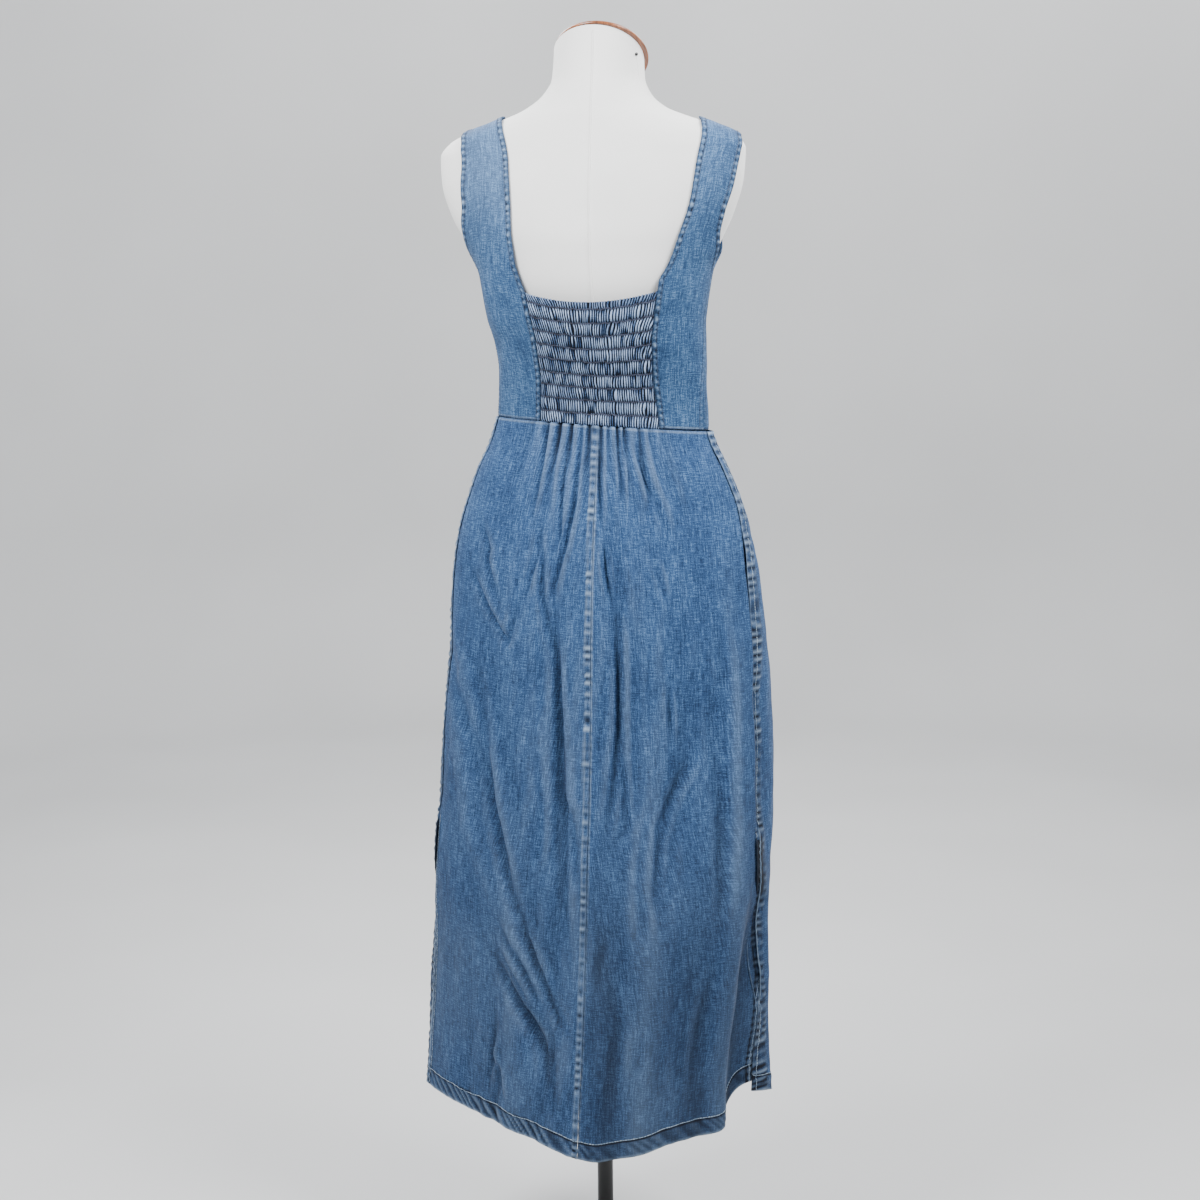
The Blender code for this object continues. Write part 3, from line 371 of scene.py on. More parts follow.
FRONT_ARMHOLE = (
    (0.1490, -0.018, 1.243), (0.1480, -0.042, 1.266), (0.1458, -0.053, 1.282), (0.1430, -0.063, 1.297),
)
FRONT_STRAP = tuple(StrapRow(*row) for row in (
    (0.0985, -0.094, 1.325, 0.1440, -0.069, 1.328),
    (0.1015, -0.083, 1.352, 0.1480, -0.064, 1.352),
    (0.1045, -0.070, 1.376, 0.1525, -0.054, 1.372),
    (0.1080, -0.053, 1.396, 0.1540, -0.040, 1.386),
    (0.1110, -0.032, 1.408, 0.1550, -0.025, 1.395),
))
FRONT_RIGHT_SCALE = 1.07
NECKLINE_TURN, NECKLINE_CORNER, NECKLINE_CENTRE = 136.0, 1.297, 1.262
PRINCESS_WAIST_TURN = 138.0
SHIRRED_SHARES = np.array([0.0, 0.3602, 0.6749, 1.0])
SHIRRED_HALF = np.array([0.0725, 0.0675, 0.0695, 0.0780])
SHIRRED_TOP_CENTRE, SHIRRED_TOP_CORNER = 1.1945, 1.206
SEAM_TOP_SHARE = 0.93


class Fold(NamedTuple):
    """A broad fold from its top to its bottom; depth is outwards and spread half its width."""

    top: float
    top_turn: float
    bottom: float
    bottom_turn: float
    depth: float
    spread: float


BACK_FOLDS = tuple(Fold(*row) for row in (
    (0.860, 72, 0.360, 25, -0.0060, 8), (0.420, 52, 0.290, 16, -0.0080, 6),
    (0.880, 26, 0.260, 12, -0.0050, 6), (0.700, 45, 0.180, 36, 0.0050, 8),
    (0.960, -18, 0.540, -20, -0.0045, 6), (0.800, -42, 0.180, -33, 0.0045, 7),
    (0.760, -62, 0.480, -41, -0.0050, 6), (0.560, -46, 0.150, -38, 0.0220, 22),
    (0.460, 52, 0.150, 44, -0.0060, 16), (0.860, -72, 0.150, -69, 0.0120, 7),
    (0.480, -84, 0.150, -79, -0.0190, 7), (0.310, -92, 0.160, -89, -0.0050, 10),
))
FRONT_FOLDS = tuple(Fold(*row) for row in (
    (1.020, 172, 0.200, 176, -0.0060, 7), (1.020, 158, 0.180, 152, 0.0070, 8),
    (0.960, 140, 0.160, 134, -0.0070, 7), (0.900, 122, 0.160, 116, 0.0060, 8),
    (1.020, -166, 0.170, -164, 0.0060, 8), (1.000, -150, 0.180, -146, -0.0070, 7),
    (0.940, -132, 0.160, -126, 0.0070, 8), (0.900, -112, 0.160, -108, -0.0050, 7),
    (0.420, -96, 0.150, -90, 0.0020, 9), (0.420, 92, 0.150, 88, 0.0040, 9),
))


class HemRow(NamedTuple):
    """The hem's height at a turn."""

    turn: float
    height: float


BACK_HEM = tuple(HemRow(*row) for row in (
    (-88, 0.243), (-84, 0.236), (-78, 0.213), (-72, 0.199),
    (-60, 0.195), (-44, 0.195), (-34, 0.191), (-14, 0.179),
    (-3, 0.184), (10, 0.191), (30, 0.196), (56, 0.199),
    (76, 0.203), (90, 0.206),
))
FRONT_HEM = tuple(HemRow(*row) for row in (
    (85, 0.206), (110, 0.201), (145, 0.192), (180, 0.188),
    (215, 0.192), (250, 0.206), (276, 0.233),
))


class Gather(NamedTuple):
    """A gather's valley below the back waist."""

    distance: float
    depth: float
    length: float


GATHERS = {
    1: (
        Gather(0.0115, 0.0020, 0.11), Gather(0.0210, 0.0006, 0.03), Gather(0.0350, 0.0019, 0.13),
        Gather(0.0515, 0.0024, 0.07), Gather(0.0690, 0.0008, 0.05), Gather(0.0900, 0.0006, 0.12),
    ),
    -1: (
        Gather(0.0060, 0.0021, 0.09), Gather(0.0160, 0.0012, 0.05), Gather(0.0290, 0.0024, 0.06),
        Gather(0.0395, 0.0016, 0.10), Gather(0.0600, 0.0016, 0.12), Gather(0.0760, 0.0006, 0.06),
        Gather(0.0920, 0.0006, 0.12),
    ),
}
BACK_WAIST_LENGTH, GATHER_REACH, FULLNESS = 0.160, 0.15, 0.68


class Crease(NamedTuple):
    """A soft trough or ridge along a line of (turn, height); depth is outwards."""

    line: tuple[tuple[float, float], ...]
    depth: float
    width: float


CREASES = tuple(Crease(*row) for row in (
    (((71, 0.872), (62, 0.823), (53, 0.790), (49, 0.830)), -0.0024, 0.006),
    (((69, 0.775), (57, 0.595), (42, 0.478), (22, 0.370)), -0.0026, 0.010),
    (((76, 0.700), (66, 0.560), (52, 0.470)), 0.0018, 0.012),
    (((52, 0.398), (35, 0.343), (18, 0.305)), -0.0042, 0.008),
    (((46, 0.415), (30, 0.362), (19, 0.335)), 0.0026, 0.007),
    (((17, 0.356), (12, 0.334), (10, 0.315)), 0.0030, 0.006),
    (((12, 0.310), (9, 0.270), (8, 0.225)), -0.0020, 0.008),
    (((60, 0.300), (48, 0.262), (40, 0.225)), -0.0016, 0.009),
    (((26, 0.820), (22, 0.723), (9, 0.485), (2, 0.365)), -0.0024, 0.009),
    (((32, 0.700), (24, 0.560), (14, 0.440)), 0.0016, 0.010),
    (((40, 0.930), (34, 0.850), (28, 0.780)), -0.0016, 0.007),
    (((-20, 0.820), (-24, 0.653), (-26, 0.570), (-14, 0.535)), -0.0022, 0.008),
    (((-48, 0.742), (-50, 0.665)), -0.0015, 0.005),
    (((-58, 0.653), (-42, 0.573), (-40, 0.525)), -0.0024, 0.007),
    (((-36, 0.620), (-30, 0.540), (-28, 0.440)), 0.0018, 0.009),
    (((-35, 0.493), (-35, 0.445)), -0.0020, 0.006),
    (((-64, 0.750), (-65, 0.605), (-67, 0.423)), -0.0022, 0.008),
    (((-62, 0.420), (-56, 0.330), (-54, 0.260)), 0.0014, 0.010),
    (((-20, 0.400), (-24, 0.330), (-22, 0.250)), -0.0012, 0.010),
    (((44, 1.060), (45, 0.998), (46, 0.940)), -0.0022, 0.005),
    (((30, 1.060), (26, 0.963), (24, 0.865)), -0.0018, 0.005),
    (((10, 1.045), (14, 0.958), (27, 0.850)), -0.0026, 0.007),
    (((-8, 1.050), (-10, 0.985), (-11, 0.920)), -0.0022, 0.006),
    (((-14, 0.910), (-15, 0.875), (-18, 0.840)), -0.0024, 0.004),
    (((-24, 1.055), (-24, 1.003), (-24, 0.955)), -0.0020, 0.005),
    (((-34, 1.055), (-32, 0.998), (-28, 0.950)), -0.0022, 0.005),
    (((-40, 1.050), (-48, 0.988), (-54, 0.920)), -0.0024, 0.006),
    (((-55, 1.050), (-58, 0.998), (-60, 0.945)), -0.0018, 0.006),
    (((-44, 1.000), (-45, 0.955)), 0.0016, 0.005),
    (((86, 0.803), (56, 0.585), (36, 0.458)), -0.0018, 0.012),
    (((28, 0.820), (20, 0.608), (10, 0.585), (-2, 0.465)), -0.0022, 0.010),
    (((-22, 0.820), (-22, 0.695), (-18, 0.613), (-10, 0.533)), -0.0024, 0.009),
    (((-57, 0.643), (-44, 0.563), (-39, 0.473)), -0.0022, 0.006),
    (((-68, 0.830), (-67, 0.640), (-65, 0.420)), -0.0020, 0.007),
    (((50, 0.453), (32, 0.380), (18, 0.328)), -0.0020, 0.007),
    (((38, 0.443), (22, 0.388), (10, 0.335)), -0.0024, 0.006),
    (((50, 0.320), (54, 0.240)), -0.0022, 0.007),
    (((21, 0.330), (12, 0.255)), -0.0018, 0.006),
    (((-18, 0.448), (-11, 0.365)), -0.0014, 0.006),
    (((-28, 0.335), (-28, 0.280)), 0.0012, 0.006),
    (((72, 0.935), (65, 0.888), (58, 0.840)), -0.0016, 0.006),
    (((39, 0.925), (44, 0.843)), -0.0014, 0.006),
    (((-46, 0.893), (-48, 0.845)), -0.0012, 0.005),
    (((120, 0.820), (128, 0.700), (134, 0.600)), -0.0024, 0.009),
    (((150, 0.700), (142, 0.560), (146, 0.420)), -0.0022, 0.010),
    (((168, 0.560), (172, 0.430), (166, 0.320)), 0.0020, 0.011),
    (((188, 0.900), (192, 0.760), (184, 0.640)), -0.0020, 0.009),
    (((206, 0.640), (214, 0.500), (208, 0.400)), -0.0026, 0.009),
    (((232, 0.800), (224, 0.680), (228, 0.560)), 0.0020, 0.010),
    (((244, 0.470), (236, 0.380), (226, 0.320)), -0.0030, 0.008),
    (((110, 0.430), (118, 0.360), (130, 0.320)), -0.0030, 0.008),
))
BACK_CREASES = 43  # the first rows of the table; the rest lie in front


def mirrored(crease: Crease) -> Crease:
    """A crease of the back's kind for the hidden front, a little lower and shallower."""
    line = tuple((183 - 0.93 * turn, height - 0.025) for turn, height in crease.line)
    return Crease(line, 0.85 * crease.depth, crease.width)


# every second one, without those that start in the waist's gathers
FRONT_CREASES = tuple(mirrored(crease) for crease in CREASES[:BACK_CREASES:2] if crease.line[0][1] < 0.94)


def in_metres(turn: Any, height: Any) -> tuple[Array, Array]:
    """Turn and height as a flat plan in metres."""
    girth = np.interp(height, (0.90, 1.05), (1.0, 0.56))
    return np.asarray(turn, float) * METRES_PER_DEGREE * girth, np.asarray(height, float)


def crease_relief(turn: Array, height: Array) -> Array:
    """The sum of the listed creases, soft at their ends.

    Args:
        turn: turns of the grid's points.
        height: heights of the grid's points.
    Returns:
        The relief at each point, in metres.
    """
    total = np.zeros(np.broadcast(turn, height).shape)
    u, v = in_metres(turn, height)
    for crease in CREASES + FRONT_CREASES:
        nodes = np.array([in_metres(*node) for node in crease.line])
        steps = np.linalg.norm(np.diff(nodes, axis=0), axis=1)
        nearest, aside, where, run = total * 0 + FAR, total * 0, total * 0, 0.0
        for start, end, length in zip(nodes[:-1], nodes[1:], steps):
            way = (end - start) / length
            from_u, from_v = u - start[0], v - start[1]
            share = np.clip(from_u * way[0] + from_v * way[1], 0, length)
            apart = np.hypot(from_u - share * way[0], from_v - share * way[1])
            nearer = apart < nearest
            aside = np.where(nearer, np.copysign(apart, from_u * way[1] - from_v * way[0]), aside)
            where = np.where(nearer, run + share, where)
            nearest = np.minimum(nearest, apart)
            run += length
        soft = np.sin(np.pi * np.clip(where / run, 0.02, 0.98)) ** 0.7
        across = aside / (0.8 * crease.width)
        total += CREASE_GAIN * crease.depth * soft * (bump(across, 0, 1) - 0.5 * bump(across, 1.6, 1))
    return total * (1 + 0.35 * fade(height, 0.55, 0.75) * fade(height, 0.97, 0.90))


def fold_relief(folds: Sequence[Fold], turn: Array, height: Array) -> Array:
    """The sum of the broad folds.

    Args:
        folds: the folds.
        turn: turns of the grid's points.
        height: heights of the grid's points.
    Returns:
        The relief at each point, in metres.
    """
    relief = np.zeros(np.broadcast(turn, height).shape)
    for fold in folds:
        share = (fold.top - height) / (fold.top - fold.bottom)
        line = fold.top_turn + (fold.bottom_turn - fold.top_turn) * np.clip(share, 0, 1)
        away = (turn - line + 180) % 360 - 180
        shown = fade(share, -0.15, 0.35)
        if fold.bottom > 0.25:
            shown = shown * fade(share, 1.25, 0.75)
        relief = relief + fold.depth * shown * np.exp(-((away / fold.spread) ** 2))
    return relief


# ---------------------------------------------------------------- finishes
def add(tree: NodeTree, kind: str, settings: dict[str, Any] | None = None, **links: Any) -> Node:
    """A node with its settings and links.

    Args:
        tree: the material's node tree.
        kind: the node's type.
        settings: attributes of the node, or values of inputs by name or index.
        links: an input's name, with _ for a space or iN for index N, to an output socket.
    Returns:
        The new node.
    """
    node = tree.nodes.new(kind)
    for name, value in (settings or {}).items():
        if isinstance(name, str) and hasattr(node, name):
            setattr(node, name, value)
        else:
            node.inputs[name].default_value = value
    for name, socket in links.items():
        target = int(name[1:]) if name[0] == "i" and name[1:].isdigit() else name.replace("_", " ")
        tree.links.new(socket, node.inputs[target])
    return node


def ramp(tree: NodeTree, source: Any, stops: Sequence[tuple[float, str]]) -> Any:
    """A colour ramp through a few stops.

    Args:
        tree: the material's node tree.
        source: the socket that drives it.
        stops: positions with their hex colours, rising.
    Returns:
        The ramp's colour socket.
    """
    node = add(tree, "ShaderNodeValToRGB", None, Fac=source)
    while len(node.color_ramp.elements) < len(stops):
        node.color_ramp.elements.new(0.5)
    for element, (place, code) in zip(node.color_ramp.elements, stops):
        element.position = place
        element.color = linear(code)
    return node.outputs["Color"]


def new_material(name: str, roughness: float, **sockets: Any) -> tuple[Material, NodeTree, Node]:
    """A Principled material with constants on its own sockets.

    Args:
        name: the real material and its process.
        roughness: its roughness.
        sockets: more values, by the socket's name with _ for a space.
    Returns:
        The material, its node tree and its shader.
    """
    made = bpy.data.materials.new(name)
    made.use_nodes = True
    shader = made.node_tree.nodes["Principled BSDF"]
    shader.inputs["Roughness"].default_value = roughness
    for key, value in sockets.items():
        shader.inputs[key.replace("_", " ")].default_value = value
    return made, made.node_tree, shader


@dataclass(frozen=True)
class Denim:
    """Woven indigo denim, garment-washed light: streaky, matt, paler on its raised edges from rubbing and
    painted highlight, darker in its hollows from painted shade.
    """

    name: str
    deep: str
    middle: str
    pale: str
    slub: float = 0.9  # strength of the vertical yarn streaks
    # the pale colour for wear and painted highlight
    worn_and_lit: str = "#a9c1dc"
    # the dark colour for dye and painted shade
    dye_and_shade_colour: str = "#0e131f"

    def noise(self, tree: NodeTree, place: Any, across_mm: float, along_mm: float, detail: float) -> Any:
        """Noise with grains of a set size on the cloth.

        Args:
            tree: the material's node tree.
            place: the UV socket, in metres.
            across_mm: the grains' width.
            along_mm: the grains' length.
            detail: the noise's finer octaves.
        Returns:
            The noise's socket.
        """
        scale = (1000 / across_mm, 1000 / along_mm, 0.0)
        sized = add(tree, "ShaderNodeVectorMath", {"operation": "MULTIPLY", 1: scale}, i0=place)
        return add(
            tree, "ShaderNodeTexNoise",
            {"noise_dimensions": "2D", "Scale": 1.0, "Detail": detail, "Roughness": 0.55},
            Vector=sized.outputs[0],
        ).outputs["Fac"]

    def build(self) -> Material:
        """Makes the material, which reads the cloth UV map in metres and two attributes: one mixes in a pale
        colour for rubbed edges and painted highlight, the other a dark colour for indigo kept in the seams
        and painted shade.

        Returns:
            The material.
        """
        made, tree, shader = new_material(self.name, 0.90, Sheen_Weight=0.05, Sheen_Roughness=0.45)
        shader.inputs["Specular IOR Level"].default_value = 0.25
        place = add(tree, "ShaderNodeUVMap", {"uv_map": "cloth"}).outputs["UV"]
        # yarns are 0.4 mm; drawn 1.3 mm wide and up, as coarse as they need to show
        warp = self.noise(tree, place, 1.3, 17.0, 2.0)
        weft = self.noise(tree, place, 11.0, 1.3, 2.0)
        grain = self.noise(tree, place, 1.1, 1.4, 1.0)
        cloud = self.noise(tree, place, 42.0, 70.0, 4.0)
        streak = self.noise(tree, place, 4.0, 120.0, 3.0)
        value: Any = 0.5
        for part, weight in (
            (warp, 0.95 * self.slub), (weft, 0.70), (grain, 0.75), (cloud, 0.34), (streak, 0.26),
        ):
            centred = add(tree, "ShaderNodeMath", {"operation": "SUBTRACT", 1: 0.5}, i0=part)
            scaled = add(tree, "ShaderNodeMath", {"operation": "MULTIPLY", 1: weight}, i0=centred.outputs[0])
            if isinstance(value, float):
                total = add(tree, "ShaderNodeMath", {"operation": "ADD", 1: value}, i0=scaled.outputs[0])
            else:
                total = add(tree, "ShaderNodeMath", {"operation": "ADD"}, i0=scaled.outputs[0], i1=value)
            value = total.outputs[0]
        base = ramp(tree, value, ((0.12, self.deep), (0.5, self.middle), (0.88, self.pale)))
        # mixes in the wear with its painted highlight, then the dye with its painted shade, from the two
        # attributes
        for name, code in (("wear_and_highlight", self.worn_and_lit), ("dye_and_shade", self.dye_and_shade_colour)):
            amount = add(tree, "ShaderNodeAttribute", {"attribute_name": name}).outputs["Fac"]
            mixed = add(
                tree, "ShaderNodeMix", {"data_type": "RGBA", 7: linear(code)},
                i0=amount, i6=base,
            )
            base = mixed.outputs[2]
        tree.links.new(base, shader.inputs["Base Color"])
        relief = add(tree, "ShaderNodeBump", {"Strength": 0.55, "Distance": 0.0006}, Height=value)
        tree.links.new(relief.outputs["Normal"], shader.inputs["Normal"])
        return made


@dataclass(frozen=True)
class Jersey:
    """Fine knitted cotton jersey stretched over a moulded form: off-white, even and matt."""

    name: str = "off-white cotton jersey, stretched"
    colour: str = "#f6f6f5"
    shade: str = "#eeefee"

    def build(self) -> Material:
        """Makes the material, with a knit fine enough to read as a soft grain.

        Returns:
            The material.
        """
        made, tree, shader = new_material(self.name, 0.82, Sheen_Weight=0.12)
        place = add(tree, "ShaderNodeTexCoord").outputs["Object"]
        tone = add(tree, "ShaderNodeTexNoise", {"Scale": 9.0, "Detail": 3.0}, Vector=place).outputs["Fac"]
        tree.links.new(ramp(tree, tone, ((0.3, self.shade), (0.7, self.colour))), shader.inputs["Base Color"])
        knit = add(tree, "ShaderNodeTexNoise", {"Scale": 700.0, "Detail": 1.0}, Vector=place).outputs["Fac"]
        relief = add(tree, "ShaderNodeBump", {"Strength": 0.25, "Distance": 0.0004}, Height=knit)
        tree.links.new(relief.outputs["Normal"], shader.inputs["Normal"])
        return made


@dataclass(frozen=True)
class Wood:
    """Turned beech, stained red-brown and varnished: straight grain under a soft gloss."""

    name: str = "stained beech, turned and varnished"
    dark: str = "#5e3018"
    light: str = "#a5633a"

    def build(self) -> Material:
        """Makes the material, with grain lines about 3 mm apart.

        Returns:
            The material.
        """
        made, tree, shader = new_material(self.name, 0.34, Coat_Weight=0.35)
        place = add(tree, "ShaderNodeTexCoord").outputs["Object"]
        sized = add(tree, "ShaderNodeVectorMath", {"operation": "MULTIPLY", 1: (330, 22, 22)}, i0=place)
        grain = add(tree, "ShaderNodeTexNoise", {"Scale": 1.0, "Detail": 5.0}, Vector=sized.outputs[0])
        tree.links.new(
            ramp(tree, grain.outputs["Fac"], ((0.3, self.dark), (0.7, self.light))),
            shader.inputs["Base Color"],
        )
        return made


@dataclass(frozen=True)
class BlackPaint:
    """Powder-coated steel: black, satin, with the slight orange peel of the coating."""

    name: str = "powder-coated steel, black"
    colour: str = "#151516"

    def build(self) -> Material:
        """Makes the material, with a 1 mm peel in its bump.

        Returns:
            The material.
        """
        made, tree, shader = new_material(self.name, 0.42)
        place = add(tree, "ShaderNodeTexCoord").outputs["Object"]
        peel = add(tree, "ShaderNodeTexNoise", {"Scale": 900.0, "Detail": 2.0}, Vector=place).outputs["Fac"]
        tree.links.new(ramp(tree, peel, ((0.3, "#101011"), (0.7, self.colour))), shader.inputs["Base Color"])
        relief = add(tree, "ShaderNodeBump", {"Strength": 0.2, "Distance": 0.0003}, Height=peel)
        tree.links.new(relief.outputs["Normal"], shader.inputs["Normal"])
        return made


@dataclass(frozen=True)
class Thread:
    """Spun polyester sewing thread, tonal with the cloth, with a faint twist."""

    name: str
    colour: str
    light: str

    def build(self) -> Material:
        """Makes the material, uneven along its length.

        Returns:
            The material.
        """
        made, tree, shader = new_material(self.name, 0.6)
        place = add(tree, "ShaderNodeTexCoord").outputs["Object"]
        twist = add(tree, "ShaderNodeTexNoise", {"Scale": 260.0, "Detail": 1.0}, Vector=place).outputs["Fac"]
        colour = ramp(tree, twist, ((0.35, self.colour), (0.65, self.light)))
        tree.links.new(colour, shader.inputs["Base Color"])
        return made


class Finish(Enum):
    """The finishes of this dress and its form."""

    LIGHT = Denim("washed denim, bodice", "#1a3052", "#33547c", "#668bb6")
    MID = Denim("washed denim, skirt", "#172b4a", "#2d4b75", "#5a7fae")
    # the shirred panel's brightest pale colour serves its rubbed crests and their painted highlight
    SHIRRED = Denim("washed denim, shirred", "#15294a", "#3a5b8c", "#7fa2d0", slub=0.3, worn_and_lit="#b9d0f2")
    JERSEY = Jersey()
    # a lighter copy of the jersey: painted highlight along the cover's raised seams
    HIGHLIGHT_TAPE = Jersey("off-white cotton jersey, seam edge", "#fbfbfa", "#f2f2f1")
    WOOD = Wood()
    BLACK = BlackPaint()
    NAVY = Thread("spun thread, navy", "#2a3b58", "#41577a")
    PALE = Thread("spun thread, washed pale", "#70869f", "#a6b8cb")
    ELASTIC = Thread("elastic thread, washed navy", "#1d2133", "#3c435a")

    @property
    def material(self) -> Material:
        """The finish's material, built once."""
        found = bpy.data.materials.get(self.value.name)
        return found or self.value.build()


# ---------------------------------------------------------------- meshes
def lay_grid(mesh_data: BMesh, points: Array) -> list[BMVert]:
    """Adds a grid whose vertices lie at these points.

    Args:
        mesh_data: the bmesh that takes the grid.
        points: rows of points.
    Returns:
        The grid's vertices, row by row.
    """
    rows, columns = points.shape[:2]
    made = bmesh.ops.create_grid(mesh_data, x_segments=columns - 1, y_segments=rows - 1, size=1.0)
    for vert, point in zip(made["verts"], points.reshape(-1, 3).tolist()):
        vert.co = point
    return made["verts"]


def to_object(name: str, mesh_data: BMesh, finish: Finish, smooth: bool = True) -> Object:
    """A finished bmesh as a piece at the origin that rides with the body.

    Args:
        name: the piece's name.
        mesh_data: the bmesh, which is freed.
        finish: its finish.
        smooth: shade it smooth.
    Returns:
        The object.
    """
    mesh = bpy.data.meshes.new(name)
    mesh_data.to_mesh(mesh)
    mesh_data.free()
    if smooth:
        mesh.shade_smooth()
    mesh.materials.append(finish.material)
    made = bpy.data.objects.new(name, mesh)
    bpy.context.scene.collection.objects.link(made)
    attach(made, "root")
    return made


class Held(Enum):
    """How a sheet is kept in its shape."""

    STRETCHED = "stretched"
    GATHERED = "gathered"
    HUNG = "hung"


@dataclass
class Cloth:
    """A panel's outer face: its points, the same points before relief, its paleness from rubbing and painted
    highlight, and its darkness from indigo and painted shade.
    """

    points: Array
    plain: Array
    wear_and_highlight: Array
    dye_and_shade: Array
    flat: tuple[float, float]
    area: float
    held: Held
    gone: tuple[int, slice] | None = None  # an opening: its first row, and its columns

    def grid(self, mesh_data: BMesh) -> None:
        """Adds the face as a grid whose vertices remember their place.

        Args:
            mesh_data: the bmesh that takes it.
        """
        place = mesh_data.verts.layers.int.new("place")
        for index, vert in enumerate(lay_grid(mesh_data, self.points + RAISED)):
            vert[place] = index
        if self.gone:
            first, middle = self.gone
            inside = np.zeros(self.points.shape[:2], bool)
            inside[first:, middle] = True
            inside = inside.ravel()
            faces = [f for f in mesh_data.faces if all(inside[v[place]] for v in f.verts)]
            bmesh.ops.delete(mesh_data, geom=faces, context="FACES")
        mesh_data.normal_update()
        axis = Vector(BODY_AXIS).xy
        facing = sum(f.normal.xy.dot(f.calc_center_median().xy - axis) for f in mesh_data.faces)
        if facing < 0:
            bmesh.ops.reverse_faces(mesh_data, faces=mesh_data.faces)

    def build(self, name: str, finish: Finish, thickness: float = SHELL) -> Object:
        """The panel as a thin shell with its UV map in metres and its two attributes.

        Args:
            name: the piece's name.
            finish: its finish.
            thickness: the shell's thickness, inwards.
        Returns:
            The object.
        """
        mesh_data = bmesh.new()
        self.grid(mesh_data)
        place = mesh_data.verts.layers.int["place"]
        order = np.array([vert[place] for vert in mesh_data.verts])
        made = to_object(name, mesh_data, finish)
        mesh = made.data
        corner = np.empty(len(mesh.loops), np.int32)
        mesh.loops.foreach_get("vertex_index", corner)
        u = along(self.plain, 1)
        u = u - u[:, u.shape[1] // 2 : u.shape[1] // 2 + 1]
        v = along(self.plain, 0)
        flat = np.stack([u.ravel()[order], v.ravel()[order]], axis=-1)
        mesh.uv_layers.new(name="cloth").data.foreach_set("uv", flat[corner].ravel().astype(np.float32))
        # the pale marks of wear and painted highlight, and the dark marks of dye and painted shade
        for key, values in (("wear_and_highlight", self.wear_and_highlight), ("dye_and_shade", self.dye_and_shade)):
            layer = mesh.attributes.new(key, "FLOAT", "POINT")
            layer.data.foreach_set("value", np.clip(values.ravel()[order], 0, 1).astype(np.float32))
        wall = made.modifiers.new("wall", "SOLIDIFY")
        wall.thickness = thickness
        wall.offset = -1.0
        return made


def line_at(points: Array, distance: float, from_last: bool = False, columns: bool = False) -> Array:
    """A line on a grid of points at a set distance from one of its edges.

    Args:
        points: the grid.
        distance: metres in from the edge.
        from_last: count from the last column (or row) and not the first.
        columns: the edge is a first or last row, so that the line crosses the columns.
    Returns:
        The line's points.
    """
    grid = np.swapaxes(points, 0, 1) if columns else points
    grid = grid[:, ::-1] if from_last else grid
    run = along(grid, 1)
    return np.array([
        [np.interp(distance, row_run, row[:, axis]) for axis in range(3)] for row_run, row in zip(run, grid)
    ])


def face_out(line: Array) -> Array:
    """Level outward directions on the dress.

    Args:
        line: points on it.
    Returns:
        A unit vector for each point.
    """
    away = line - BODY_AXIS
    away[:, 2] = 0.0
    return away / np.linalg.norm(away, axis=1, keepdims=True)


@dataclass
class Stitching:
    """Rows of machine stitches, gathered into one mesh."""

    length: float = 0.0026
    pitch: float = 0.0034
    width: float = 0.0006
    height: float = 0.0006
    glance: float = 0.0008  # how far ahead a stitch looks for its direction
    mesh_data: BMesh = field(default_factory=bmesh.new)

    def run(self, line: Array) -> None:
        """Adds stitches along a line.

        Args:
            line: points on the cloth.
        """
        total = run_length(line)
        at = np.arange(self.pitch / 2, total[-1], self.pitch)
        middles = np.stack([np.interp(at, total, line[:, axis]) for axis in range(3)], axis=-1)
        ahead = np.stack([np.interp(at + self.glance, total, line[:, axis]) for axis in range(3)], axis=-1)
        for middle, front, out in zip(middles, ahead, face_out(middles)):
            way = Vector(front - middle)
            if way.length < 1e-6:
                continue
            way.normalize()
            side = way.cross(Vector(out)).normalized()
            up = side.cross(way)
            centre = Vector(middle) + up * (self.height / 4) + Vector(RAISED)
            turned = Matrix((way, side, up)).transposed().to_4x4()
            size = Matrix.Diagonal((self.length, self.width, self.height, 1.0))
            bmesh.ops.create_cube(self.mesh_data, size=1.0, matrix=Matrix.Translation(centre) @ turned @ size)

    def finish(self, name: str, finish: Finish, slot: str) -> Object:
        """The stitches as one piece.

        Args:
            name: the piece's name.
            finish: the thread's finish.
            slot: not used.
        Returns:
            The object.
        """
        made = to_object(name, self.mesh_data, finish, smooth=False)
        return made


def puckers(run: Array, pitch: float, seed: int, ragged: float = 0.65) -> Array:
    """Uneven seam puckers.

    Args:
        run: distance along the seam in metres.
        pitch: the usual distance from one pucker to the next.
        seed: which pattern.
        ragged: how unevenly they follow each other.
    Returns:
        The puckers at each point, from -1 to 1.
    """
    wander = run / pitch + ragged * patchy(run / (pitch * 2.2), 0.5, seed)
    strength = 0.60 + 0.40 * patchy(run / (pitch * 1.7), 7.5, seed + 1)
    return np.sin(2 * np.pi * wander) * strength


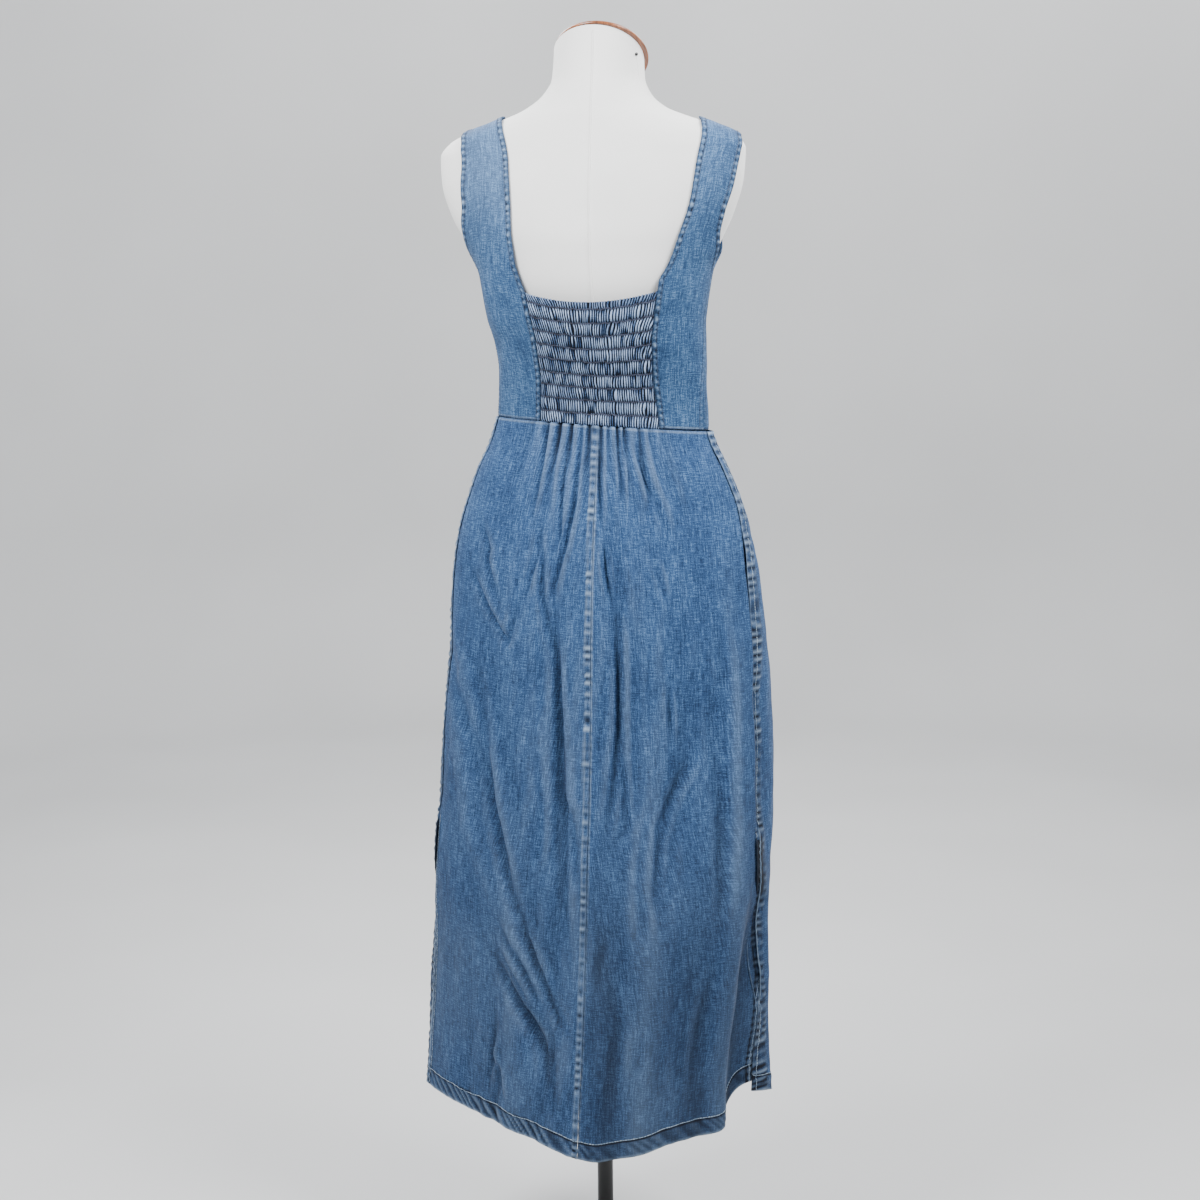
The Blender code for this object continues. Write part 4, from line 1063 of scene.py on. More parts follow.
@dataclass(frozen=True)
class Edge:
    """A turned and stitched edge: a raised band with puckers, as wide as its turning."""

    width: float = 0.008
    rise: float = 0.0008
    pucker: float = 0.0006
    pitch: float = 0.0095
    slant: float = 0.0
    seed: int = 1
    rim: float = 0.5  # paler along the very edge from wear and painted highlight, and darker there from dye and painted shade where negative
    ragged: float = 0.65  # how unevenly the puckers follow each other
    groove: tuple[float, float] = (0.55, 0.0)  # darker from dye and painted shade, and paler from wear and painted highlight, along the stitched line
    tint: float = 0.0  # how much darker the whole band is

    def shape(self, inward: Array, run: Array, share: Any = 1.0) -> tuple[Array, Array, Array]:
        """Relief of the band, its paleness from rubbing and painted highlight, and its darkness from indigo
        and painted shade.

        Args:
            inward: distance from the edge at each point.
            run: distance along the edge at each point.
            share: how strongly the band puckers, from 0 to 1.
        Returns:
            The relief in metres, and the paleness and the darkness from 0 to 1.
        """
        band = fade(inward, self.width + 0.0012, self.width - 0.0012)
        wave = share * puckers(run + self.slant * inward, self.pitch, self.seed, self.ragged)
        hump = np.sin(np.pi * np.clip(inward / self.width, 0, 1)) ** 0.3
        outer = self.width + 0.004
        beyond = np.exp(-(np.maximum(inward - self.width, 0) / 0.004))
        relief = band * self.rise + wave * self.pucker * np.where(inward < self.width, hump, 0.5 * beyond)
        groove = bump(inward, self.width - 0.0012, 0.0011)
        relief = relief - 0.0004 * groove
        level = np.clip(wave, -1, 1)
        line = bump(inward, 0.0004, max(0.0010, 0.09 * self.width)) * (0.75 + 0.35 * level)
        # pucker ridges paler from wear and painted highlight; pucker valleys and the stitched groove darker
        # from dye and painted shade
        wear_and_highlight = band * np.clip(wave, 0, 1) ** 1.5 * 0.75 * hump + max(self.rim, 0) * line
        wear_and_highlight = wear_and_highlight + self.groove[1] * groove
        dye_and_shade = np.clip(-wave, 0, 1) * 0.75 * band * hump + groove * self.groove[0] * (1 - 0.5 * level)
        dye_and_shade = dye_and_shade + self.tint * band + max(-self.rim, 0) * line
        return relief, wear_and_highlight * (inward < outer), dye_and_shade * (inward < outer)


# its rim below zero paints a dark line of shade, with some dye, along the bodice's edges
BODICE_EDGE = Edge(width=0.0068, rise=0.0008, pucker=0.0007, pitch=0.0085, slant=0.5, seed=51, rim=-0.8)


@dataclass
class Face:
    """What is worked into a panel's outer face: its relief in metres, its paleness from rubbing and painted
    highlight, and its darkness from indigo and painted shade.
    """

    relief: Array
    wear_and_highlight: Array
    dye_and_shade: Array

    def turn_edge(self, edge: Edge, inward: Array, run: Array, share: Any = 1.0, shown: Any = 1.0) -> None:
        """Adds a turned edge.

        Args:
            edge: the edge.
            inward: distance from it at each point.
            run: distance along it at each point.
            share: how strongly its band puckers.
            shown: how much of the edge there is at each point, from 0 to 1.
        """
        shape, worn_and_lit, dyed_and_shaded = edge.shape(inward, run, share)
        self.relief = self.relief + shape * shown
        self.wear_and_highlight = self.wear_and_highlight + worn_and_lit * shown
        self.dye_and_shade = self.dye_and_shade + dyed_and_shaded * shown


# ---------------------------------------------------------------- the dress
def waist_height(points_x: Array) -> Array:
    """The waist seam's height across the dress."""
    return WAIST_HEIGHT + WAIST_TILT * points_x


def seam_y(height: Array, side: int) -> Array:
    """The side seam's depth at a height."""
    rows = np.array(SIDE_SEAM)
    return np.interp(height, rows[:, 0], rows[:, 2] if side > 0 else rows[:, 1])


def vent_gap(heights: Any) -> Array:
    """Half the gap along a side seam, which opens below the vent's top."""
    return SEAM_GAP / 2 + 0.0012 * fade(heights, VENT_TOP, HEM_CENTRE_HEIGHT)


def seam_turn(height: float, side: int, aside: float) -> float:
    """The turn of the line that runs aside metres behind the skirt's side seam.

    Args:
        height: the height of the place.
        side: 1 for the wearer's left seam, -1 for the right.
        aside: metres behind the seam, or before it where negative.
    Returns:
        The turn in degrees.
    """
    section = SKIRT.at(height)
    run = seam_y(height, side) + aside - section.side_y
    depth, power = SKIRT.halves(section, run)
    across = section.half_width * (1 - (np.abs(run) / depth) ** power) ** (1 / power)
    return float(side * np.degrees(np.arctan2(across, run)))


def centre_x(height: Any) -> Array:
    """The centre-back seam's place at a height."""
    return np.interp(height, (HEM_CENTRE_HEIGHT, WAIST_HEIGHT), (HEM_CENTRE_X, DRESS_CENTRE_X))


def turns_along(height: float, first: float, last: float, shares: Array) -> Array:
    """Turns that cut the stretch of the skirt between two turns into these shares.

    Args:
        height: the height of the stretch.
        first: the turn where it starts.
        last: the turn where it ends.
        shares: shares of its length.
    Returns:
        A turn for each share.
    """
    fine = np.linspace(first, last, 160)
    points = SKIRT.ring(fine, np.full_like(fine, height))
    run = run_length(points)
    return np.interp(np.asarray(shares) * run[-1], run, fine)


def fold_wear_light_and_shade(relief: Array) -> tuple[Array, Array]:
    """Paleness on the raised folds from rubbing and painted highlight, and painted shade in the troughs, from
    the relief's bend across.

    Args:
        relief: the panel's relief in metres.
    Returns:
        The paleness and the darkness at each point.
    """
    wear_and_highlight, dye_and_shade = np.zeros_like(relief), np.zeros_like(relief)
    # painted highlight with some wear on the ridges, painted shade in the troughs, at two widths of fold
    for parts, bent, worn_and_lit in ((24, 0.0045, 0.10), (9, 0.010, 0.045)):
        step = max(3, relief.shape[1] // parts)
        padded = np.pad(relief, ((0, 0), (step, step)), mode="edge")
        bend = (relief - (padded[:, : -2 * step] + padded[:, 2 * step :]) / 2) / bent
        wear_and_highlight += worn_and_lit * np.clip(bend, 0, 1)
        dye_and_shade += 0.20 * np.clip(-bend, 0, 1)
    return wear_and_highlight, dye_and_shade


@dataclass
class SkirtPanel:
    """A skirt panel from the waist to the hem, between two of the seams."""

    side: int  # 1 and -1 for the back panels, 0 for the front
    rows: int = 215
    columns: int = 120
    drop_rows: Array = field(init=False)
    shares: Array = field(init=False)
    hem_edge: Edge = Edge(
        width=0.021, rise=0.0011, pucker=0.0016, pitch=0.0150, slant=1.0, seed=11,
        rim=0.9, ragged=1.5, groove=(0.95, 0.0), tint=0.10,
    )
    centre_edge: Edge = Edge(
        width=0.0076, rise=0.0012, pucker=0.0008, pitch=0.0105, slant=0.15, seed=23,
        rim=0.25, ragged=0.9, groove=(0.0, 0.22),
    )
    side_edge: Edge = Edge(
        width=0.0180, rise=0.0012, pucker=0.0010, pitch=0.0105, slant=0.1, seed=31,
        rim=0.40, ragged=0.9, groove=(0.25, 0.1), tint=0.12,
    )
    vent_edge: Edge = Edge(
        width=0.0075, rise=0.0008, pucker=0.0006, pitch=0.009, slant=0.0, seed=41, rim=0.9,
    )

    def __post_init__(self) -> None:
        """Works out the grid's shares, closer together along the edges."""
        top = np.linspace(0, 0.04, 16)
        low = np.linspace(0.955, 1, 30)
        self.drop_rows = np.concatenate([top, np.linspace(0.04, 0.955, self.rows - 44)[1:-1], low])
        if self.side:
            self.shares = np.concatenate([
                np.linspace(0, 0.0125, 8), np.linspace(0.0125, 0.955, self.columns - 24)[1:-1],
                np.linspace(0.955, 1, 16),
            ])
        else:
            edge = np.linspace(0, 0.025, 14)
            middle = np.linspace(0.025, 0.975, self.columns + 34)[1:-1]
            self.shares = np.concatenate([edge, middle, 1 - edge[::-1]])

    def turns(self) -> Array:
        """The turn of every point of the grid.

        Returns:
            Turns in degrees, row by row.
        """
        drop = WAIST_HEIGHT - HEM_CENTRE_HEIGHT
        rows = []
        for share in self.drop_rows:
            height = WAIST_HEIGHT - drop * share
            if self.side:
                spread = 1 - (1 - FULLNESS) * float(fade(share, 0.0, 0.8))
                middle = SKIRT.at(height)
                aside = centre_x(height) - middle.middle_x
                first = float(np.degrees(np.arctan2(aside, middle.back - middle.side_y)))
                last = seam_turn(height, self.side, float(vent_gap(height)))
                rows.append(turns_along(height, first, last, self.shares**spread))
            else:
                first = seam_turn(height, 1, -float(vent_gap(height)))
                last = seam_turn(height, -1, -float(vent_gap(height))) + 360
                rows.append(turns_along(height, first, last, self.shares))
        return np.array(rows)

    def gathers(self, drop: Array) -> Array:
        """Relief of the gathers: broad waves, each with a sharp valley that dies out unevenly.

        Args:
            drop: distance below the waist at each point.
        Returns:
            The relief in metres.
        """
        if not self.side:
            return np.zeros((len(self.drop_rows), len(self.shares)))
        at, waves = [0.0], [0.0]
        rows = GATHERS[self.side]
        for index, gather in enumerate(rows):
            if index:
                at.append((rows[index - 1].distance + gather.distance) / 2)
                waves.append((rows[index - 1].depth + gather.depth) / 2)
            at.append(gather.distance)
            waves.append(-0.7 * gather.depth)
        at.append(rows[-1].distance + 0.02)
        waves.append(0.0)
        distance = self.shares * BACK_WAIST_LENGTH
        wave = smooth_curve(np.array(at), np.array(waves)[:, None], np.clip(distance, 0, at[-1]))[..., 0]
        relief = wave[None, :] * (1 - fade(drop, 0.0, GATHER_REACH))
        for gather in rows:
            sharp = bump(distance, gather.distance, 0.0030)[None, :]
            relief = relief - 1.1 * gather.depth * sharp * (1 - fade(drop, 0.0, 1.4 * gather.length))
        return relief

    def crumple(self, u: Array, v: Array) -> Array:
        """The unevenness of washed cloth, from broad waves down to small dents.

        Args:
            u: places across the panel, in metres.
            v: their heights.
        Returns:
            The relief in metres.
        """
        waves = 0.0019 * patchy(u / 0.034, v / 0.170 + 3, 5)
        slants = 0.0012 * patchy(u / 0.016 + v / 0.09, v / 0.060, 6)
        creases = 0.0008 * patchy(u / 0.009, v / 0.028, 7) * (0.5 + 0.5 * patchy(u / 0.09, v / 0.12, 8))
        dents = 0.00035 * patchy(u / 0.0055 + v / 0.03, v / 0.016, 9)
        return waves + slants + creases + dents

    def washed(self, relief: Array, drawn: Array, turns: Array, heights: Array, drop: Array) -> Face:
        """The panel's face with the fading that its washing left, and with painted light and shade: highlight
        on ridges, shade in troughs and gather valleys, towards the hem and low on the right back.

        Args:
            relief: its folds, gathers and creases.
            drawn: the gathers alone.
            turns: the turn of each point.
            heights: the height of each point.
            drop: its distance below the waist.
        Returns:
            The face.
        """
        # paler ridges from wear and painted highlight, painted shade in the troughs
        wear_and_highlight, dye_and_shade = fold_wear_light_and_shade(relief)
        if not self.side:
            wear_and_highlight, dye_and_shade = 0.45 * wear_and_highlight, 0.6 * dye_and_shade
        near_waist = 1 - fade(drop, 0.0, 0.11)
        # painted highlight on the gathers' ridges and painted shade in their valleys, just below the waist
        wear_and_highlight = wear_and_highlight + 0.10 * np.clip(drawn / 0.0015, 0, 1) * near_waist**2
        dye_and_shade = dye_and_shade + 0.65 * np.clip(-drawn / 0.0030, 0, 1) * near_waist
        # painted shade: darker towards the hem, where the light falls off
        dye_and_shade = dye_and_shade + 0.22 * fade(heights, 0.95, 0.25)
        # painted shade low on the right back panel, towards its side seam
        if self.side < 0:
            dye_and_shade = dye_and_shade + 0.18 * fade(heights, 0.60, 0.35) * fade(turns, -4, -25)
        # low on the back panels: patchy paler areas, and a little painted shade
        if self.side:
            u, v = in_metres(turns, heights)
            low = fade(heights, 0.70, 0.35)
            wear_and_highlight = wear_and_highlight + 0.06 * (low * (0.5 + 0.5 * patchy(u / 0.045, v / 0.080, 13)))
            dye_and_shade = dye_and_shade + 0.05 * low
        return Face(relief, wear_and_highlight, dye_and_shade)

    def finish_back(self, face: Face, turns: Array, heights: Array, across: Array, down: Array) -> None:
        """Works the hem, the centre-back seam, the side seam and its vent into a back panel.

        Args:
            face: the panel's face.
            turns: the turn of each point.
            heights: the height of each point.
            across: its distance from the centre-back seam.
            down: its distance from the waist.
        """
        roping = 0.45 + 0.50 * fade(turns, -10, 12)
        slanting = -across if self.side > 0 else across
        face.turn_edge(self.hem_edge, down[-1:, :] - down, slanting, roping)
        near_seam = across[:, -1:] - across
        if self.side > 0:
            laddered = 1.05 + 0.7 * bump(heights, 0.80, 0.11) + 0.4 * patchy(heights / 0.045, 0.5, 14)
            face.turn_edge(self.centre_edge, across, down, laddered)
        vent = fade(heights, VENT_TOP + 0.004, VENT_TOP - 0.004)
        face.turn_edge(self.vent_edge, near_seam, down, 1.0, vent)
        # a dark line of painted shade along the back panel's edge at the side seam, above the vent, over a
        # shallow groove
        shaded_seam_line = bump(near_seam, 0.0, 0.0016) * (1 - vent)
        face.dye_and_shade = face.dye_and_shade + 0.45 * shaded_seam_line
        drawn_in = 0.0004 * puckers(down, 0.0105, 31) * bump(near_seam, 0.0, 0.008)
        face.relief = face.relief - 0.0006 * shaded_seam_line + drawn_in
        if self.side < 0:
            face.relief = face.relief + 0.0005 * puckers(down, 0.0115, 23) * bump(across, 0.0, 0.007)
            # a pale line on the centre-back seam's ridge, wear and painted highlight, broken by the puckers
            ladder = 1 + 0.9 * puckers(down, 0.0105, 23)
            face.wear_and_highlight = face.wear_and_highlight + 0.36 * bump(across, 0.0008, 0.0013) * ladder

    def finish_front(self, face: Face, heights: Array, across: Array, down: Array) -> None:
        """Works the hem and both felled side seams into the front panel.

        Args:
            face: the panel's face.
            heights: the height of each point.
            across: its distance from the left side seam.
            down: its distance from the waist.
        """
        near_last = across[:, -1:] - across
        # painted shade beside both side seams, growing from 1.0 m down to 0.8 m, where the front turns away
        # from the light
        shade_beside_seams = fade(across, 0.035, 0.0) + fade(near_last, 0.035, 0.0)
        face.dye_and_shade = face.dye_and_shade + 0.20 * shade_beside_seams * fade(heights, 1.0, 0.8)
        face.turn_edge(self.hem_edge, down[-1:, :] - down, across, 0.5)
        laddered = 1.3 + 0.6 * patchy(heights / 0.05, 0.5, 15)
        for inward in (across, near_last):
            face.turn_edge(self.side_edge, inward, down, laddered)

    def cloth(self) -> Cloth:
        """The panel with its folds, creases, seams and hem.

        Returns:
            Its outer face.
        """
        turns = self.turns()
        back = self.side != 0
        hem_rows = np.array(BACK_HEM if back else FRONT_HEM)
        hem = smooth_curve(hem_rows[:, 0], hem_rows[:, 1:], turns)[..., 0]
        top = waist_height(SKIRT.ring(turns[:1], WAIST_HEIGHT)[..., 0])
        heights = top + (hem - top) * self.drop_rows[:, None]
        drop = top - heights
        drawn = self.gathers(drop)
        relief = fold_relief(BACK_FOLDS if back else FRONT_FOLDS, turns, heights) + drawn
        relief = relief + crease_relief(turns if back else turns % 360, heights)
        relief = relief + fade(drop, 0.02, 0.25) * self.crumple(*in_metres(turns, heights))
        plain = SKIRT.ring(turns, heights)
        across, down = along(plain, 1), along(plain, 0)
        face = self.washed(relief, drawn, turns, heights, drop)
        if back:
            self.finish_back(face, turns, heights, across, down)
        else:
            self.finish_front(face, heights, across, down)
        # at the waist seam: a groove, a dark line of painted shade under the bodice's edge, and a pale line
        # of wear and painted highlight just below
        face.relief = face.relief - 0.0005 * bump(down, 0.0, 0.0018)
        face.dye_and_shade = face.dye_and_shade + 0.2 * bump(down, 0.0, 0.0012)
        face.wear_and_highlight = face.wear_and_highlight + 0.25 * bump(down, 0.0022, 0.0012) * (1 + 0.6 * puckers(across, 0.007, 56))
        points = SKIRT.ring(turns, heights, face.relief)
        points[0, :, 2] = waist_height(points[0, :, 0]) - SEAM_GAP / 2
        if back:
            points[:, 0, 0] = centre_x(points[:, 0, 2]) + self.side * SEAM_GAP / 2
            points[:, -1, 1] = seam_y(points[:, -1, 2], self.side) + vent_gap(points[:, -1, 2])
            return Cloth(points, plain, face.wear_and_highlight, face.dye_and_shade, (0.31, 0.93), 0.215, Held.GATHERED)
        for column, side in ((0, 1), (-1, -1)):
            points[:, column, 1] = seam_y(points[:, column, 2], side) - vent_gap(points[:, column, 2])
        laps = self.lap(points, across, 1), self.lap(points, across[:, -1:] - across, -1)
        return Cloth(points, plain, face.wear_and_highlight, face.dye_and_shade + laps[0] + laps[1], (0.66, 0.93), 0.50, Held.HUNG)

    def lap(self, points: Array, inward: Array, side: int) -> Array:
        """Lays the front's vent edge over the back's at the vent's top, and under it below.

        Args:
            points: the panel's points, which are moved.
            inward: distance from this side's edge.
            side: 1 for the wearer's left vent, -1 for the right.
        Returns:
            How much darker the turned edge is where it lies on top.
        """
        edge = points[:, 0 if side > 0 else -1]
        heights = edge[:, 2]
        turns = np.array([seam_turn(height, side, float(vent_gap(height))) for height in heights])
        other = SKIRT.ring(turns, heights, fold_relief(BACK_FOLDS, turns, heights))
        opened = fade(heights, VENT_TOP - 0.002, VENT_TOP - 0.018)
        on_top = fade(heights, LAP_ENDS - 0.008, LAP_ENDS + 0.008)
        out = side * (0.0026 * on_top - 0.0030 * (1 - on_top))
        over = 0.0085 * np.clip(np.abs(heights - LAP_ENDS) / 0.03, 0, 1)
        over = np.where(heights > LAP_ENDS, over, 0.7 * over)
        way = np.stack([other[:, 0] + out - edge[:, 0], over + 0 * heights, 0 * heights], axis=-1)
        way = way * opened[:, None]
        share = fade(inward, 0.028, 0.0)[..., None]
        points += share * way[:, None]
        return 0.80 * bump(inward, 0.004, 0.005) * (opened * on_top)[:, None]

    def stitches(self, cloth: Cloth) -> Stitching:
        """The stitched lines of the panel.

        Args:
            cloth: the panel.
        Returns:
            The stitches.
        """
        sewn = Stitching(length=0.0028, width=0.0007)
        sewn.run(line_at(cloth.points, self.hem_edge.width + 0.0004, from_last=True, columns=True))
        if self.side:
            low = cloth.points[:, -1, 2] < VENT_TOP
            sewn.run(line_at(cloth.points, SEAM_LINE, True)[low])
        else:
            for last in (False, True):
                sewn.run(line_at(cloth.points, 0.0086, last))
        return sewn


def place_on_body(guides: Array, lift: Any = 0.0) -> Array:
    """Guide points moved onto the bodice's outer face, which lies on the form above the bust.

    Args:
        guides: points near the face.
        lift: metres that they stand out from it.
    Returns:
        The points on the face.
    """
    heights = guides[..., 2]
    axis_y = np.full_like(heights, CORE_Y)
    core = np.stack([np.zeros_like(heights), axis_y, np.minimum(heights, CORE_TOP)], axis=-1)
    direction = guides - core
    direction = direction / np.linalg.norm(direction, axis=-1, keepdims=True)
    loose = BODICE.reach(core, direction)
    resting = FORM.reach(core, direction) + REST_GAP + WALL
    on_form = fade(heights, LOOSE_TOP, RESTING_FROM)
    reach = np.maximum(loose * (1 - on_form) + resting * on_form, resting) + lift
    return core + direction * reach[..., None]


def surface_y(points_x: Array, heights: Array) -> Array:
    """The depth of the bodice's back where it has this width and height.

    Args:
        points_x: places across.
        heights: their heights.
    Returns:
        The depth of each point.
    """
    section = BODICE.at(heights)
    share = np.clip(np.abs(points_x - section.middle_x) / section.half_width, 0, 0.999)
    depth = section.back - section.side_y
    return section.side_y + depth * (1 - share**section.back_power) ** (1 / section.back_power)


def finer(points: Array, count: int, crowding: float) -> Array:
    """Points along a smooth run of guide points, crowded towards its end.

    Args:
        points: the guide points.
        count: how many points to place, after the first.
        crowding: 1 for even steps, and more to crowd them.
    Returns:
        The points.
    """
    run = run_length(points)
    shares = 1 - (1 - np.linspace(0, 1, count + 1)[1:]) ** crowding
    return smooth_curve(run, points, shares * run[-1])


def side_seam_guides(side: int, shares: Array) -> Array:
    """Guide points of the bodice's side seam at shares of the shirred panel's height.

    Args:
        side: 1 for the wearer's left seam, -1 for the right.
        shares: shares of the height, from the waist.
    Returns:
        The points.
    """
    low = float(waist_height(np.array(side * WAIST_HALF_WIDTH)))
    heights = low + (BACK_STRAP[side][0].arm_z - low) * shares * SEAM_TOP_SHARE
    section = BODICE.at(heights)
    return np.stack([section.middle_x + side * section.half_width, seam_y(heights, side), heights], axis=-1)


@dataclass
class BackSide:
    """A back side panel in one piece with its wide shoulder strap."""

    side: int
    seam_rows: int = 70
    strap_rows: int = 95
    columns: int = 46
    edge: Edge = BODICE_EDGE

    def cloth(self) -> Cloth:
        """The panel with its narrow turned edges and its drag lines.

        Returns:
            Its outer face.
        """
        shares = np.linspace(0, 1, self.seam_rows)
        half = np.interp(shares, SHIRRED_SHARES, SHIRRED_HALF)
        neck_x = DRESS_CENTRE_X + self.side * half
        neck_z = waist_height(neck_x) + (SHIRRED_TOP_CORNER - waist_height(neck_x)) * shares
        neck = np.stack([neck_x, surface_y(neck_x, neck_z), neck_z], axis=-1)
        arm = side_seam_guides(self.side, shares)
        upper = np.array(BACK_STRAP[self.side])
        neck = np.vstack([neck, finer(np.vstack([neck[-1:], upper[:1, :3]]), 4, 1.0)])
        arm = np.vstack([arm, finer(np.vstack([arm[-1:], upper[:1, 3:]]), 4, 1.0)])
        neck = np.vstack([neck, finer(upper[:, :3], self.strap_rows, STRAP_CROWDING)])
        arm = np.vstack([arm, finer(upper[:, 3:], self.strap_rows, STRAP_CROWDING)])
        across = np.linspace(0, 1, self.columns)
        across = (across - 0.35 * np.sin(2 * np.pi * across) / (2 * np.pi))[None, :, None]
        guides = neck[:, None] * (1 - across) + arm[:, None] * across
        plain = place_on_body(guides)
        run, down = along(plain, 1), along(plain, 0)
        rows = np.arange(len(guides))[:, None]
        open_neck = fade(rows, self.seam_rows - 2, self.seam_rows + 2)
        open_arm = fade(rows, self.seam_rows + 1, self.seam_rows + 6)
        face = Face(np.zeros(run.shape), np.zeros(run.shape), np.zeros(run.shape))
        face.turn_edge(self.edge, run, down, shown=1.15 - 0.15 * open_neck)
        face.turn_edge(self.edge, run[:, -1:] - run, down, shown=0.35 + 0.65 * open_arm)
        at_waist = 0.0006 * bump(down, 0.004, 0.004) - 0.0009 * bump(down, 0.0, 0.0016)
        dragged = 0.0012 * patchy(run / 0.030, down / 0.022 + run / 0.06, 61)
        dragged = dragged + 0.0006 * patchy(run / 0.012, down / 0.030, 62)
        low = 1 - fade(rows, self.seam_rows - 10, self.seam_rows + 20)
        dragged = low * dragged * np.sin(np.pi * np.clip(run / run[:, -1:], 0, 1))
        relief = face.relief + at_waist + dragged + 0.0003 * patchy(run / 0.012, down / 0.050, 63)
        # at the waist seam: a dark line of painted shade and, just above, a pale line of wear and painted
        # highlight
        dye_and_shade = face.dye_and_shade + 0.3 * bump(down, 0.0, 0.0014)
        wear_and_highlight = face.wear_and_highlight + 0.40 * bump(down, 0.0026, 0.0010) * (1 + 0.6 * puckers(run, 0.007, 55))
        # painted light: paler towards the shoulders, which face the light above, more on the left strap than
        # the shaded right; partly a paler wash
        wear_and_highlight = wear_and_highlight + (0.06 + 0.03 * self.side) * fade(plain[..., 2], 1.22, 1.36)
        points = place_on_body(guides, relief)
        points[0, :, 2] = waist_height(points[0, :, 0]) + SEAM_GAP / 2
        points[: self.seam_rows, 0, 0] = DRESS_CENTRE_X + self.side * (half + SEAM_GAP / 2)
        seam = slice(0, self.seam_rows + 4)
        points[seam, -1, 1] = seam_y(points[seam, -1, 2], self.side) + SEAM_GAP / 2
        points[-1, :, 1] = SHOULDER_Y + SEAM_GAP / 2
        return Cloth(points, plain, wear_and_highlight, dye_and_shade, (0.12, 0.41), 0.031, Held.STRETCHED)

    def stitches(self, cloth: Cloth) -> Stitching:
        """A row along each turned edge and beside the seams.

        Args:
            cloth: the panel.
        Returns:
            The stitches.
        """
        sewn = Stitching()
        sewn.run(line_at(cloth.points, SEAM_LINE))
        sewn.run(line_at(cloth.points, SEAM_LINE, True))
        sewn.run(line_at(cloth.points, WAIST_LINE, columns=True))
        return sewn


